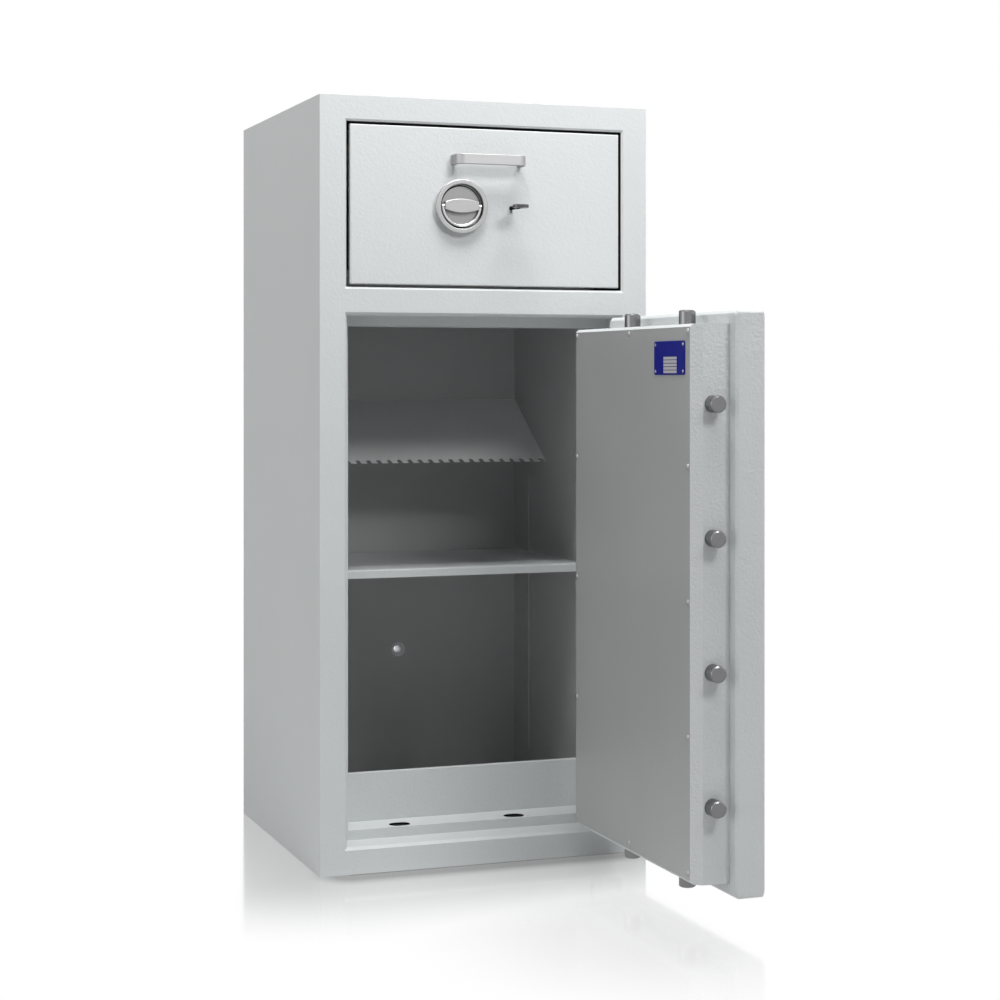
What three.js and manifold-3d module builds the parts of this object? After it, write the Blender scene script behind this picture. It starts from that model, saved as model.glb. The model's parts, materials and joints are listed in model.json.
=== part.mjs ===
// Deposit safe with an upper drawer and a hinged door.
// Millimetres, +Z up, the front faces -Y, the origin is the centre of the footprint on the floor.
// Inside the cabinet group y is the depth behind the front face. The door is drawn shut and is
// then swung open about its hinge axis, so its pieces share the numbers of the opening they fill.
import * as THREE from 'three';
import { mergeVertices } from 'three/addons/utils/BufferGeometryUtils.js';
import Module from 'manifold-3d';

const wasm = await Module();
wasm.setup();

// Cabinet
const WIDTH = 636;
const DEPTH = 595;
const HEIGHT = 1400;
const CASING_SHEET = 3;
const SEAT = 0.3;
const OVERRUN = 5;

// Front frame: a face plate with two bevelled windows, each with a folded sleeve behind it
const FACE_PLATE = 6;
const JAMB = 51.5;
const SILL = 48.5;
const HEADER = 47;
const DRAWER_BAY = 295.5;
const RAIL = 52;
const WINDOW_BEVEL = 5;
const SLEEVE_WALL = 4;
const SLEEVE_DEPTH = 135;
const REBATE_DEPTH = 60;
const LIP = 18;

// Inner liner
const LINER_INSET = 6.5;
const LINER_SHEET = 2;
const BACK_WALL = 43;
const BOLT_HOLLOW = 18;

// Furniture of the compartment
const APRON_SETBACK = 4;
const APRON_SHEET = 3;
const APRON_HEIGHT = 89.5;
const APRON_HEM = 14;
const SHELF_DROP = 190.5;
const SHELF_SHEET = 2;
const SHELF_SETBACK = 23;
const SHELF_BACK_GAP = 7;
const SHELF_FOLD = 16;
const SHELF_RETURN = 12;
const UPRIGHT_WIDTH = 26;
const UPRIGHT_THICK = 4;
const UPRIGHT_SETBACK = 26;
const UPRIGHT_REAR_SETBACK = 58;
const UPRIGHT_FOOT = 53.5;
const UPRIGHT_HEAD = 28.5;
const SLOT_PITCH = 50;
const SLOT_WIDTH = 3.6;
const SLOT_HEIGHT = 14;
const HOOK_REACH = 12;
const HOOK_THICK = 4;
const GUARD_DROP = 212.5;
const GUARD_FALL = 123;
const GUARD_RUN = 182;
const GUARD_SHEET = 2;
const GUARD_FLANGE = 18;
const TOOTH_PITCH = 21.6;
const NOTCH_RADIUS_SHARE = 0.26;
const NOTCH_CENTRE_SHARES = [0.56, 0.27];
const NOTCH_START_SHARE = 1.2;
const NOTCH_SWEEP_SHARE = 1.3;
const ENTRY_SHARES = [0.42, 0.9];
const ANCHOR_Z = 327;
const ANCHOR_RADIUS = 14;
const ANCHOR_BORE = 6.5;
const ANCHOR_RECESS = 10;
const ANCHOR_WALL = 1.7;

// Door
const DOOR_GAP = 3;
const DOOR_SWING_GAP = 4.5;
const DOOR_THICK = 53;
const DOOR_OUTER_CHAMFER = 4.5;
const DOOR_INNER_CHAMFER = 5.5;
const DOOR_CORNER = 6;
const DOOR_SHEET = 4;
const DOOR_REST_ANGLE = Math.PI / 2;
const CASE_NEAR_INSET = 23.5;
const CASE_END_INSET = 22.5;
const CASE_WALL = 3;
const CASE_WALL_TOP = 101;
const CASE_FLANGE = 12;
const COVER_DEPTH = 118;
const COVER_SHEET = 2.5;
const COVER_BEVEL = 13.5;
const COVER_EDGE = 5;
const LABEL_WIDTH = 120;
const LABEL_HEIGHT = 56;
const LABEL_THICK = 1.5;
const LABEL_INSET_X = 17.5;
const LABEL_INSET_Z = 22;

// Hinges: barrels that stand in front of the face, beside the door
const HINGE_INSET = 20;
const HINGE_FORWARD = 31;
const HINGE_FOOT = 118.5;
const HINGE_HEAD = 232.5;
const KNUCKLE_RADIUS = 11;
const KNUCKLE_LENGTH = 58;
const KNUCKLE_GAP = 0.5;
const PIN_RADIUS = 6;
const PIN_HEAD = 5;
const LEAF_THICK = 8;
const LEAF_REACH = 92;
const LEAF_CORNER = 6;

// Locking bolts and the gear that drives them
const BOLT_RADIUS = 14;
const BOLT_DEPTH = 84;
const BOLT_RIM = 2;
const BOLT_CLEARANCE = 0.3;
const KEEPER_LENGTH = 40;
const KEEPER_WIDTH = 31;
const SIDE_BOLT_COUNT = 4;
const SIDE_BOLT_FOOT = 125;
const SIDE_BOLT_HEAD = 130;
const END_BOLT_NEAR = 96;
const END_BOLT_FAR = 180.5;
const GEAR_MODULE = 1.56;
const PINION_TEETH = 20;
const PRESSURE_ANGLE = 20 * Math.PI / 180;
const BACKLASH = 0.3;
const ADDENDUM_SHARE = 0.9;
const DEDENDUM_SHARE = 1.2;
const QUARTER_TURN = Math.PI / 2;
const BAR_THICK = 8;
const BAR_WIDTH = 36;
const RACK_BACK = 12;
const RACK_LAYER = 9;
const RACK_LAYER_GAP = 2;
const ENGAGED_TEETH = 2;

// Round handle with a folding bail, used on the door and on the drawer
const HANDLE_INSET = 118.5;
const HANDLE_RAISE = 33;
const ROSETTE_RADIUS = 50;
const ROSETTE_BORE = 41;
const ROSETTE_HEIGHT = 12;
const ROSETTE_SOFT = 1.5;
const DISC_RADIUS = 39.5;
const DISC_THICK = 2;
const GRIP_HALF = 30.5;
const GRIP_HEIGHT = 26.5;
const GRIP_END_HEIGHT = 14;
const GRIP_RAISE = 1;
const BAIL_RADIUS = 35.7;
const BAIL_BAR = 3;
const BAIL_PROUD = 7;
const BAIL_EYE = 2.7;
const BAIL_PIN = 1.8;
const BAIL_PIN_LENGTH = 6;
const SPINDLE_RADIUS = 6;

// Key lock of the door
const LOCK_ASIDE = 100;
const LOCK_ABOVE = 130;
const LOCK_WIDTH = 80;
const LOCK_HEIGHT = 90;
const LOCK_BOLT_HEIGHT = 12;
const LOCK_BOLT_THICK = 8;
const LOCK_THROW = 6;
const LOCK_BOLT_LENGTH = 46;
const LOCK_SHELL = 2;
const ESCUTCHEON_RADIUS = 18;
const ESCUTCHEON_THICK = 3;

// Drawer
const FRONT_GAP_X = 4.5;
const FRONT_GAP_Z = 3.5;
const FRONT_THICK = 10;
const FRONT_CHAMFER = 1.5;
const TRAY_GAP = 14;
const TRAY_SHEET = 2;
const TRAY_BACK_GAP = 162;
const TRAY_RAISE = 32.5;
const TRAY_SIDE_HEIGHT = 150;
const TRAY_BACK_DROP = 8;
const TRAY_FRONT_WALL = 52;
const FIXED_FLOOR_END = 150;
const FLAP_GAP = 1.5;
const FLAP_KNUCKLE = 4;
const FLAP_PIN = 2;
const FLAP_PIN_END = 8;
const RUNNER_RAISE = 40;
const RUNNER_HEIGHT = 45;
const RUNNER_SHEET = 2;
const RUNNER_GAP = 0.5;
const RUNNER_START = 140;
const RUNNER_BACK_GAP = 12;
const RUNNER_RIB = 5.5;
const DRAWER_HANDLE_X = -52.5;
const DRAWER_PINION_TEETH = 16;
const LATCH_DEPTH = 31;
const LATCH_THICK = 12;
const LATCH_WIDTH = 30;
const LATCH_HEAD = 36;
const LATCH_OVERLAP = 10;
const LATCH_KEEPER_GAP = 2;
const DRAWER_CASE_LEFT = -100;
const DRAWER_CASE_RIGHT = 78;
const DRAWER_CASE_HALF = 55;
const DRAWER_CASE_DEPTH = 46;
const BOW_CENTRE_X = -2.5;
const BOW_LENGTH = 136;
const BOW_ABOVE = 84.75;
const BOW_HEIGHT = 19;
const BOW_BAR = 7;
const BOW_REACH = 38;
const BOW_BEND = 16;
const KEY_X = 47;
const KEY_SHANK = 3;
const KEY_PLAY = 0.5;
const KEY_REACH = 62;
const KEY_BOW_RADIUS = 15;
const KEY_BOW_THICK = 5;
const KEY_BOW_HOLE = 4;
const KEY_HOLE_SHARE = 0.75;
const KEY_TAIL = 30;
const KEY_BIT_REACH = 9;
const KEY_BIT_LENGTH = 10;
const KEY_BIT_THICK = 2.5;
const KEYHOLE_SLOT = 3;
const KEYHOLE_DROP = 9;

// Facets
const ROUND_STEPS = 32;
const SMALL_ROUND_STEPS = 16;
const CORNER_STEPS = 3;
const BAIL_STEPS = 20;
const BAIL_SIDES = 8;
const FLANK_STEPS = 3;
const NOTCH_STEPS = 6;
const MERGE_TOLERANCE = 1e-4;

// Windows, liner and what stands in the compartment
const outerHalf = WIDTH / 2;
const windowHalf = outerHalf - JAMB;
const sleeveHalf = windowHalf + SLEEVE_WALL;
const drawerWindowHigh = HEIGHT - HEADER;
const drawerWindowLow = drawerWindowHigh - DRAWER_BAY;
const drawerMiddle = (drawerWindowLow + drawerWindowHigh) / 2;
const doorWindowHigh = drawerWindowLow - RAIL;
const doorWindowLow = SILL;
const lipLeft = -windowHalf + LIP;
const lipLow = doorWindowLow + LIP;
const lipHigh = doorWindowHigh - LIP;
const linerHalf = windowHalf - LINER_INSET;
const linerBack = DEPTH - BACK_WALL;
const hollowTop = drawerWindowHigh + SLEEVE_WALL + BOLT_HOLLOW;
const guardBackZ = drawerWindowLow - GUARD_DROP;
const guardFrontZ = guardBackZ - GUARD_FALL;
const guardFrontDepth = linerBack - GUARD_RUN;
const shelfTop = guardFrontZ - SHELF_DROP;
const shelfFront = SLEEVE_DEPTH + SHELF_SETBACK;
const shelfBack = linerBack - SHELF_BACK_GAP;
const uprightLow = lipLow + UPRIGHT_FOOT;
const uprightHigh = guardFrontZ - UPRIGHT_HEAD;
const apronDepth = SLEEVE_DEPTH - APRON_SETBACK;

// Door, handle, lock and bolts
const doorLeft = -windowHalf + DOOR_SWING_GAP;
const doorRight = windowHalf - DOOR_GAP;
const doorLow = doorWindowLow + DOOR_GAP;
const doorHigh = doorWindowHigh - DOOR_GAP;
const caseLeft = doorLeft + CASE_NEAR_INSET;
const caseLow = doorLow + CASE_END_INSET;
const caseHigh = doorHigh - CASE_END_INSET;
const hingeX = outerHalf - HINGE_INSET;
const hingeLevels = [doorLow + HINGE_FOOT, doorHigh - HINGE_HEAD];
const handleX = caseLeft + HANDLE_INSET;
const handleZ = (doorLow + doorHigh) / 2 + HANDLE_RAISE;
const lockX = handleX + LOCK_ASIDE;
const lockZ = handleZ + LOCK_ABOVE;
const sideBoltLow = caseLow + SIDE_BOLT_FOOT;
const sideBoltHigh = caseHigh - SIDE_BOLT_HEAD;
const endBoltPlaces = [caseLeft + END_BOLT_NEAR, doorRight - END_BOLT_FAR];
const pitchRadius = GEAR_MODULE * PINION_TEETH / 2;
const boltTravel = pitchRadius * QUARTER_TURN;
const toothPitch = Math.PI * GEAR_MODULE;
const gearDepth = BOLT_DEPTH - RACK_LAYER - RACK_LAYER_GAP / 2;
const gearEnd = BOLT_DEPTH + RACK_LAYER + RACK_LAYER_GAP / 2;

// Drawer
const drawerPitchRadius = GEAR_MODULE * DRAWER_PINION_TEETH / 2;
const latchTravel = drawerPitchRadius * QUARTER_TURN;
const latchOffset = drawerPitchRadius + RACK_BACK - LATCH_OVERLAP;
const latchDepth = [LATCH_DEPTH - LATCH_THICK / 2, LATCH_DEPTH + LATCH_THICK / 2];
const trayHalf = linerHalf - TRAY_GAP;
const trayBack = linerBack - TRAY_BACK_GAP;
const trayLow = drawerWindowLow + TRAY_RAISE;
const traySideTop = trayLow + TRAY_SIDE_HEIGHT;
const trayBackTop = drawerWindowHigh - TRAY_BACK_DROP;
const runnerZ = trayLow + RUNNER_RAISE;
const bowZ = drawerMiddle + BOW_ABOVE;

function finish(color, roughness, metalness) {
  return new THREE.MeshStandardMaterial({ color, roughness, metalness });
}

const materials = {
  coat: finish(0xc6cccd, 0.6, 0),
  interior: finish(0x77797b, 0.65, 0),
  cover: finish(0x9a9c9d, 0.5, 0),
  filling: finish(0x8d8a84, 0.95, 0),
  steel: finish(0xa6a7a9, 0.3, 1),
  zinc: finish(0xb9bbbd, 0.4, 1),
  handle: finish(0xc9c8cb, 0.35, 0.8),
  brass: finish(0xb59a58, 0.35, 1),
  label: finish(0x16309b, 0.45, 0),
};

// A closed geometry becomes a solid once the vertices that its faces share are merged.
function toSolid(geometry) {
  const bare = new THREE.BufferGeometry();
  bare.setAttribute('position', geometry.getAttribute('position'));
  if (geometry.index) bare.setIndex(geometry.index);
  const merged = mergeVertices(bare, MERGE_TOLERANCE);
  const mesh = new wasm.Mesh({
    numProp: 3,
    vertProperties: new Float32Array(merged.getAttribute('position').array),
    triVerts: new Uint32Array(merged.index.array),
  });
  return new wasm.Manifold(mesh);
}

function toGeometry(solid) {
  const mesh = solid.getMesh();
  const geometry = new THREE.BufferGeometry();
  geometry.setAttribute('position', new THREE.BufferAttribute(new Float32Array(mesh.vertProperties), 3));
  geometry.setIndex(new THREE.BufferAttribute(new Uint32Array(mesh.triVerts), 1));
  geometry.computeVertexNormals();
  return geometry;
}

const join = (first, ...others) => others.reduce((sum, piece) => sum.add(piece), first);
const cut = (first, ...others) => others.reduce((rest, piece) => rest.subtract(piece), first);

function block([x0, x1], [y0, y1], [z0, z1]) {
  const geometry = new THREE.BoxGeometry(x1 - x0, y1 - y0, z1 - z0);
  geometry.translate((x0 + x1) / 2, (y0 + y1) / 2, (z0 + z1) / 2);
  return toSolid(geometry);
}

// Turns a shape drawn in its own plane so that its x, y and depth lie along three axes of the part.
const PLANES = {
  xy: [new THREE.Vector3(1, 0, 0), new THREE.Vector3(0, 1, 0), new THREE.Vector3(0, 0, 1)],
  xz: [new THREE.Vector3(1, 0, 0), new THREE.Vector3(0, 0, 1), new THREE.Vector3(0, -1, 0)],
  yz: [new THREE.Vector3(0, 1, 0), new THREE.Vector3(0, 0, 1), new THREE.Vector3(1, 0, 0)],
};

// Extrudes an outline drawn in one plane between two stations along the axis square to it.
function extrude(plane, outline, [from, to], holes = []) {
  const shape = new THREE.Shape(outline.map(([a, b]) => new THREE.Vector2(a, b)));
  shape.holes = holes.map((hole) => new THREE.Path(hole.map(([a, b]) => new THREE.Vector2(a, b))));
  const geometry = new THREE.ExtrudeGeometry(shape, { depth: to - from, bevelEnabled: false });
  geometry.translate(0, 0, plane === 'xz' ? -to : from);
  geometry.applyMatrix4(new THREE.Matrix4().makeBasis(...PLANES[plane]));
  return toSolid(geometry);
}

// A turned piece: the profile lists [radius, station] pairs along the axis.
function turned(axis, profile, [a, b] = [0, 0], steps = ROUND_STEPS) {
  const geometry = new THREE.LatheGeometry(profile.map(([r, s]) => new THREE.Vector2(r, s)), steps);
  if (axis === 'x') geometry.rotateZ(-QUARTER_TURN);
  if (axis === 'z') geometry.rotateX(QUARTER_TURN);
  const place = { x: [0, a, b], y: [a, 0, b], z: [a, b, 0] }[axis];
  geometry.translate(...place);
  const solid = toSolid(geometry);
  return solid.volume() < 0 ? toSolid(flipped(geometry)) : solid;
}

function flipped(geometry) {
  const index = Array.from(geometry.index.array);
  for (let i = 0; i < index.length; i += 3) {
    [index[i + 1], index[i + 2]] = [index[i + 2], index[i + 1]];
  }
  geometry.setIndex(index);
  return geometry;
}

function rod(axis, radius, [from, to], place, steps = ROUND_STEPS) {
  return turned(axis, [[0, from], [radius, from], [radius, to], [0, to]], place, steps);
}

// One ring of a rounded rectangle in the x-z plane at depth y.
function roundedRing([x0, x1], [z0, z1], y, radius) {
  const corners = [[x1 - radius, z1 - radius], [x0 + radius, z1 - radius],
    [x0 + radius, z0 + radius], [x1 - radius, z0 + radius]];
  const steps = radius > 0 ? CORNER_STEPS : 0;
  return corners.flatMap(([cx, cz], quarter) => Array.from({ length: steps + 1 }, (_, i) => {
    const angle = (quarter + (steps ? i / steps : 0)) * QUARTER_TURN;
    return [cx + radius * Math.cos(angle), y, cz + radius * Math.sin(angle)];
  }));
}

// Skins a row of convex rings that have the same number of points, and caps both ends.
function loft(rings) {
  const count = rings[0].length;
  const index = [];
  for (let r = 0; r + 1 < rings.length; r += 1) {
    for (let i = 0; i < count; i += 1) {
      const next = (i + 1) % count;
      const [a, b, c, d] = [r * count + i, r * count + next, (r + 1) * count + next, (r + 1) * count + i];
      index.push(a, b, c, a, c, d);
    }
  }
  const last = (rings.length - 1) * count;
  for (let i = 1; i + 1 < count; i += 1) {
    index.push(0, i + 1, i);
    index.push(last, last + i, last + i + 1);
  }
  const geometry = new THREE.BufferGeometry();
  geometry.setAttribute('position', new THREE.Float32BufferAttribute(rings.flat(2), 3));
  geometry.setIndex(index);
  const solid = toSolid(geometry);
  return solid.volume() < 0 ? toSolid(flipped(geometry)) : solid;
}

// Involute flank of a spur gear: angle that the flank has turned through at a radius.
function flankAngle(radius, baseRadius) {
  const roll = Math.sqrt(Math.max(0, (radius / baseRadius) ** 2 - 1));
  return roll - Math.atan(roll);
}

// Outline of a spur pinion in the x-z plane, with a tooth centred on +x.
function pinionOutline(teeth, [cx, cz]) {
  const pitch = GEAR_MODULE * teeth / 2;
  const base = pitch * Math.cos(PRESSURE_ANGLE);
  const tip = pitch + GEAR_MODULE * ADDENDUM_SHARE;
  const root = pitch - GEAR_MODULE * DEDENDUM_SHARE;
  const halfTooth = (toothPitch - BACKLASH) / 4 / pitch + flankAngle(pitch, base);
  const start = Math.max(root, base);
  const flank = Array.from({ length: FLANK_STEPS + 1 }, (_, i) => {
    const radius = start + (tip - start) * i / FLANK_STEPS;
    return [radius, halfTooth - flankAngle(radius, base)];
  });
  const points = [];
  for (let tooth = 0; tooth < teeth; tooth += 1) {
    const centre = tooth * 4 * QUARTER_TURN / teeth;
    points.push([root, centre - halfTooth]);
    flank.forEach(([radius, half]) => points.push([radius, centre - half]));
    [...flank].reverse().forEach(([radius, half]) => points.push([radius, centre + half]));
    points.push([root, centre + halfTooth]);
  }
  return points.map(([radius, angle]) => [cx + radius * Math.cos(angle), cz + radius * Math.sin(angle)]);
}

// Outline of a rack along s with its pitch line on h = 0 and its teeth towards -h. A gap is at s = 0.
function rackOutline(firstGap, lastGap, place) {
  const tip = -GEAR_MODULE * ADDENDUM_SHARE;
  const root = GEAR_MODULE * DEDENDUM_SHARE;
  const half = (toothPitch - BACKLASH) / 4;
  const slope = Math.tan(PRESSURE_ANGLE);
  const points = [[firstGap * toothPitch, root]];
  for (let gap = firstGap; gap < lastGap; gap += 1) {
    const centre = (gap + 1 / 2) * toothPitch;
    points.push([centre - half - root * slope, root]);
    points.push([centre - half - tip * slope, tip]);
    points.push([centre + half + tip * slope, tip]);
    points.push([centre + half + root * slope, root]);
  }
  points.push([lastGap * toothPitch, root]);
  points.push([lastGap * toothPitch, RACK_BACK]);
  points.push([firstGap * toothPitch, RACK_BACK]);
  return points.map(([s, h]) => place(s, h));
}

const part = new THREE.Group();
const cabinet = new THREE.Group();
cabinet.position.set(0, -DEPTH / 2, 0);
part.add(cabinet);
const doorSwing = new THREE.Group();
doorSwing.position.set(hingeX, -HINGE_FORWARD, 0);
doorSwing.rotation.z = DOOR_REST_ANGLE;
cabinet.add(doorSwing);
const door = new THREE.Group();
door.position.set(-hingeX, HINGE_FORWARD, 0);
doorSwing.add(door);

function add(group, name, solid, material) {
  const mesh = new THREE.Mesh(toGeometry(solid), material);
  mesh.name = name;
  group.add(mesh);
}

// Outer casing: one wrapped sheet with a back, open at the front where the frame closes it.
function outerCasing() {
  const shell = block([-outerHalf, outerHalf], [FACE_PLATE, DEPTH], [0, HEIGHT]);
  const room = block(
    [-outerHalf + CASING_SHEET, outerHalf - CASING_SHEET],
    [FACE_PLATE - OVERRUN, DEPTH - CASING_SHEET],
    [CASING_SHEET, HEIGHT - CASING_SHEET],
  );
  return cut(shell, room, anchorHole(DEPTH));
}

function anchorHole(depth) {
  return rod('y', ANCHOR_RADIUS + SEAT, [linerBack - OVERRUN, depth + OVERRUN], [0, ANCHOR_Z]);
}

// Filling: the cast core between the casing and the liner, with hollows where the bolts are thrown.
function wallFilling() {
  const inner = CASING_SHEET + SEAT;
  const core = block(
    [-outerHalf + inner, outerHalf - inner],
    [FACE_PLATE + SEAT, DEPTH - inner],
    [inner, HEIGHT - inner],
  );
  const sleeves = block(
    [-sleeveHalf - SEAT, sleeveHalf + SEAT],
    [FACE_PLATE - OVERRUN, SLEEVE_DEPTH + LINER_SHEET + SEAT],
    [doorWindowLow - SLEEVE_WALL - SEAT, hollowTop],
  );
  const room = block(
    [-linerHalf - LINER_SHEET - SEAT, linerHalf + LINER_SHEET + SEAT],
    [FACE_PLATE, linerBack + LINER_SHEET + SEAT],
    [lipLow - LINER_SHEET - SEAT, drawerWindowHigh + LINER_SHEET + SEAT],
  );
  return cut(core, sleeves, room, anchorHole(DEPTH));
}

// Bevelled window through the face plate: wide at the face, square behind the bevel.
function windowCut([z0, z1]) {
  const outer = WINDOW_BEVEL + OVERRUN;
  return loft([
    roundedRing([-windowHalf - outer, windowHalf + outer], [z0 - outer, z1 + outer], -OVERRUN, 0),
    roundedRing([-windowHalf, windowHalf], [z0, z1], WINDOW_BEVEL, 0),
    roundedRing([-windowHalf, windowHalf], [z0, z1], REBATE_DEPTH, 0),
  ]);
}

// A keeper is a slot with round ends, cut through the ledge that a bolt enters.
function keeper(axis, place) {
  const [long, wide] = [KEEPER_LENGTH / 2, KEEPER_WIDTH / 2];
  const straight = long - wide;
  const outline = [];
  for (let i = 0; i <= SMALL_ROUND_STEPS; i += 1) {
    const angle = (i / SMALL_ROUND_STEPS) * 2 * QUARTER_TURN - QUARTER_TURN;
    outline.push([straight + wide * Math.cos(angle), wide * Math.sin(angle)]);
  }
  for (let i = 0; i <= SMALL_ROUND_STEPS; i += 1) {
    const angle = (i / SMALL_ROUND_STEPS) * 2 * QUARTER_TURN + QUARTER_TURN;
    outline.push([-straight + wide * Math.cos(angle), wide * Math.sin(angle)]);
  }
  if (axis === 'x') {
    const ledge = [lipLeft - SLEEVE_WALL - OVERRUN, lipLeft + OVERRUN];
    return extrude('yz', outline.map(([a, b]) => [BOLT_DEPTH + b, place + a]), ledge);
  }
  const ledge = place.top
    ? [lipHigh - OVERRUN, lipHigh + SLEEVE_WALL + OVERRUN]
    : [lipLow - SLEEVE_WALL - OVERRUN, lipLow + OVERRUN];
  return extrude('xy', outline.map(([a, b]) => [place.x + a, BOLT_DEPTH + b]), ledge);
}

function sideBoltLevels() {
  const pitch = (sideBoltHigh - sideBoltLow) / (SIDE_BOLT_COUNT - 1);
  return Array.from({ length: SIDE_BOLT_COUNT }, (_, i) => sideBoltLow + i * pitch);
}

// The latches of the drawer enter two slots above and below its window.
function latchKeepers() {
  const half = LATCH_WIDTH / 2 + LATCH_KEEPER_GAP;
  const depth = [latchDepth[0] - LATCH_KEEPER_GAP, latchDepth[1] + LATCH_KEEPER_GAP];
  return [
    [-latchOffset, [drawerWindowHigh - OVERRUN, drawerWindowHigh + SLEEVE_WALL + OVERRUN]],
    [latchOffset, [drawerWindowLow - SLEEVE_WALL - OVERRUN, drawerWindowLow + OVERRUN]],
  ].map(([offset, height]) => {
    const x = DRAWER_HANDLE_X + offset;
    return block([x - half, x + half], depth, height);
  });
}

function frontFrame() {
  const plate = block([-outerHalf, outerHalf], [0, FACE_PLATE], [0, HEIGHT]);
  const rebate = block(
    [-sleeveHalf, sleeveHalf],
    [FACE_PLATE - WINDOW_BEVEL, REBATE_DEPTH + SLEEVE_WALL],
    [doorWindowLow - SLEEVE_WALL, doorWindowHigh + SLEEVE_WALL],
  );
  const ledge = block(
    [lipLeft - SLEEVE_WALL, sleeveHalf],
    [REBATE_DEPTH, SLEEVE_DEPTH],
    [lipLow - SLEEVE_WALL, lipHigh + SLEEVE_WALL],
  );
  const throat = block([lipLeft, windowHalf], [FACE_PLATE, SLEEVE_DEPTH + OVERRUN], [lipLow, lipHigh]);
  const rail = block(
    [-sleeveHalf, sleeveHalf],
    [FACE_PLATE - WINDOW_BEVEL, SLEEVE_DEPTH],
    [doorWindowHigh + SLEEVE_WALL - WINDOW_BEVEL / 2, drawerWindowLow],
  );
  const railHollow = block(
    [-sleeveHalf - OVERRUN, sleeveHalf + OVERRUN],
    [FACE_PLATE, SLEEVE_DEPTH - SLEEVE_WALL],
    [doorWindowHigh + SLEEVE_WALL, drawerWindowLow - SLEEVE_WALL],
  );
  const sleeve = block(
    [-sleeveHalf, sleeveHalf],
    [FACE_PLATE - WINDOW_BEVEL, SLEEVE_DEPTH],
    [drawerWindowLow - SLEEVE_WALL, drawerWindowHigh + SLEEVE_WALL],
  );
  const sleeveRoom = block(
    [-windowHalf, windowHalf],
    [FACE_PLATE, SLEEVE_DEPTH + OVERRUN],
    [drawerWindowLow, drawerWindowHigh],
  );
  return cut(
    join(plate, rebate, ledge, rail, sleeve),
    windowCut([doorWindowLow, doorWindowHigh]),
    windowCut([drawerWindowLow, drawerWindowHigh]),
    throat,
    railHollow,
    sleeveRoom,
    ...sideBoltLevels().map((z) => keeper('x', z)),
    ...endBoltPlaces.flatMap((x) => [keeper('z', { x, top: true }), keeper('z', { x, top: false })]),
    ...latchKeepers(),
  );
}

// Inner liner: a sheet box, open at the front, with a flange that meets the sleeves.
function innerLiner() {
  const half = linerHalf + LINER_SHEET;
  const body = block(
    [-half, half],
    [SLEEVE_DEPTH, linerBack + LINER_SHEET],
    [lipLow - LINER_SHEET, drawerWindowHigh + LINER_SHEET],
  );
  const flange = block(
    [-sleeveHalf, sleeveHalf],
    [SLEEVE_DEPTH, SLEEVE_DEPTH + LINER_SHEET],
    [lipLow - SLEEVE_WALL, drawerWindowHigh + SLEEVE_WALL],
  );
  const room = block(
    [-linerHalf, linerHalf],
    [SLEEVE_DEPTH - OVERRUN, linerBack],
    [lipLow, drawerWindowHigh],
  );
  return cut(join(body, flange), room, anchorHole(DEPTH));
}

// Apron: an upright sheet across the bottom of the doorway, hemmed backwards at its top.
function floorApron() {
  const outline = [
    [apronDepth, lipLow],
    [apronDepth + APRON_SHEET, lipLow],
    [apronDepth + APRON_SHEET, lipLow + APRON_HEIGHT - APRON_SHEET],
    [apronDepth + APRON_HEM, lipLow + APRON_HEIGHT - APRON_SHEET],
    [apronDepth + APRON_HEM, lipLow + APRON_HEIGHT],
    [apronDepth, lipLow + APRON_HEIGHT],
  ];
  return extrude('yz', outline, [lipLeft + SEAT, linerHalf - SEAT]);
}

// Shelf: a sheet whose front and back edges are folded down and returned.
function shelf() {
  const [front, back, top] = [shelfFront, shelfBack, shelfTop];
  const [sheet, under] = [SHELF_SHEET, shelfTop - SHELF_FOLD];
  const outline = [
    [front, top - sheet], [front + sheet, top], [back - sheet, top], [back, top - sheet],
    [back, under], [back - SHELF_RETURN, under],
    [back - SHELF_RETURN, under + sheet], [back - sheet, under + sheet],
    [back - sheet, top - sheet], [front + sheet, top - sheet],
    [front + sheet, under + sheet], [front + SHELF_RETURN, under + sheet],
    [front + SHELF_RETURN, under], [front, under],
  ];
  const half = linerHalf - UPRIGHT_THICK - 2 * SEAT;
  return extrude('yz', outline, [-half, half]);
}

// Slotted upright on a side wall, with the hook that carries the shelf.
function shelfUpright(side, depth) {
  const wall = side * (linerHalf - SEAT);
  const face = wall - side * UPRIGHT_THICK;
  const span = [Math.min(wall, face), Math.max(wall, face)];
  const [y0, y1] = [depth, depth + UPRIGHT_WIDTH];
  const middle = depth + UPRIGHT_WIDTH / 2;
  const slots = [];
  for (let z = uprightLow + SLOT_PITCH / 2; z + SLOT_HEIGHT < uprightHigh; z += SLOT_PITCH) {
    if (Math.abs(z - shelfTop) < SLOT_PITCH / 2) continue;
    slots.push([
      [middle - SLOT_WIDTH / 2, z], [middle - SLOT_WIDTH / 2, z + SLOT_HEIGHT],
      [middle + SLOT_WIDTH / 2, z + SLOT_HEIGHT], [middle + SLOT_WIDTH / 2, z],
    ]);
  }
  const edge = [[y0, uprightLow], [y1, uprightLow], [y1, uprightHigh], [y0, uprightHigh]];
  const strip = extrude('yz', edge, span, slots);
  const inner = wall - side * (UPRIGHT_THICK + HOOK_REACH);
  const hookSpan = [Math.min(wall, inner), Math.max(wall, inner)];
  const under = shelfTop - SHELF_SHEET;
  const hookDepth = [middle - UPRIGHT_WIDTH / 4, middle + UPRIGHT_WIDTH / 4];
  const hook = block(hookSpan, hookDepth, [under - HOOK_THICK, under]);
  return join(strip, hook);
}

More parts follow.
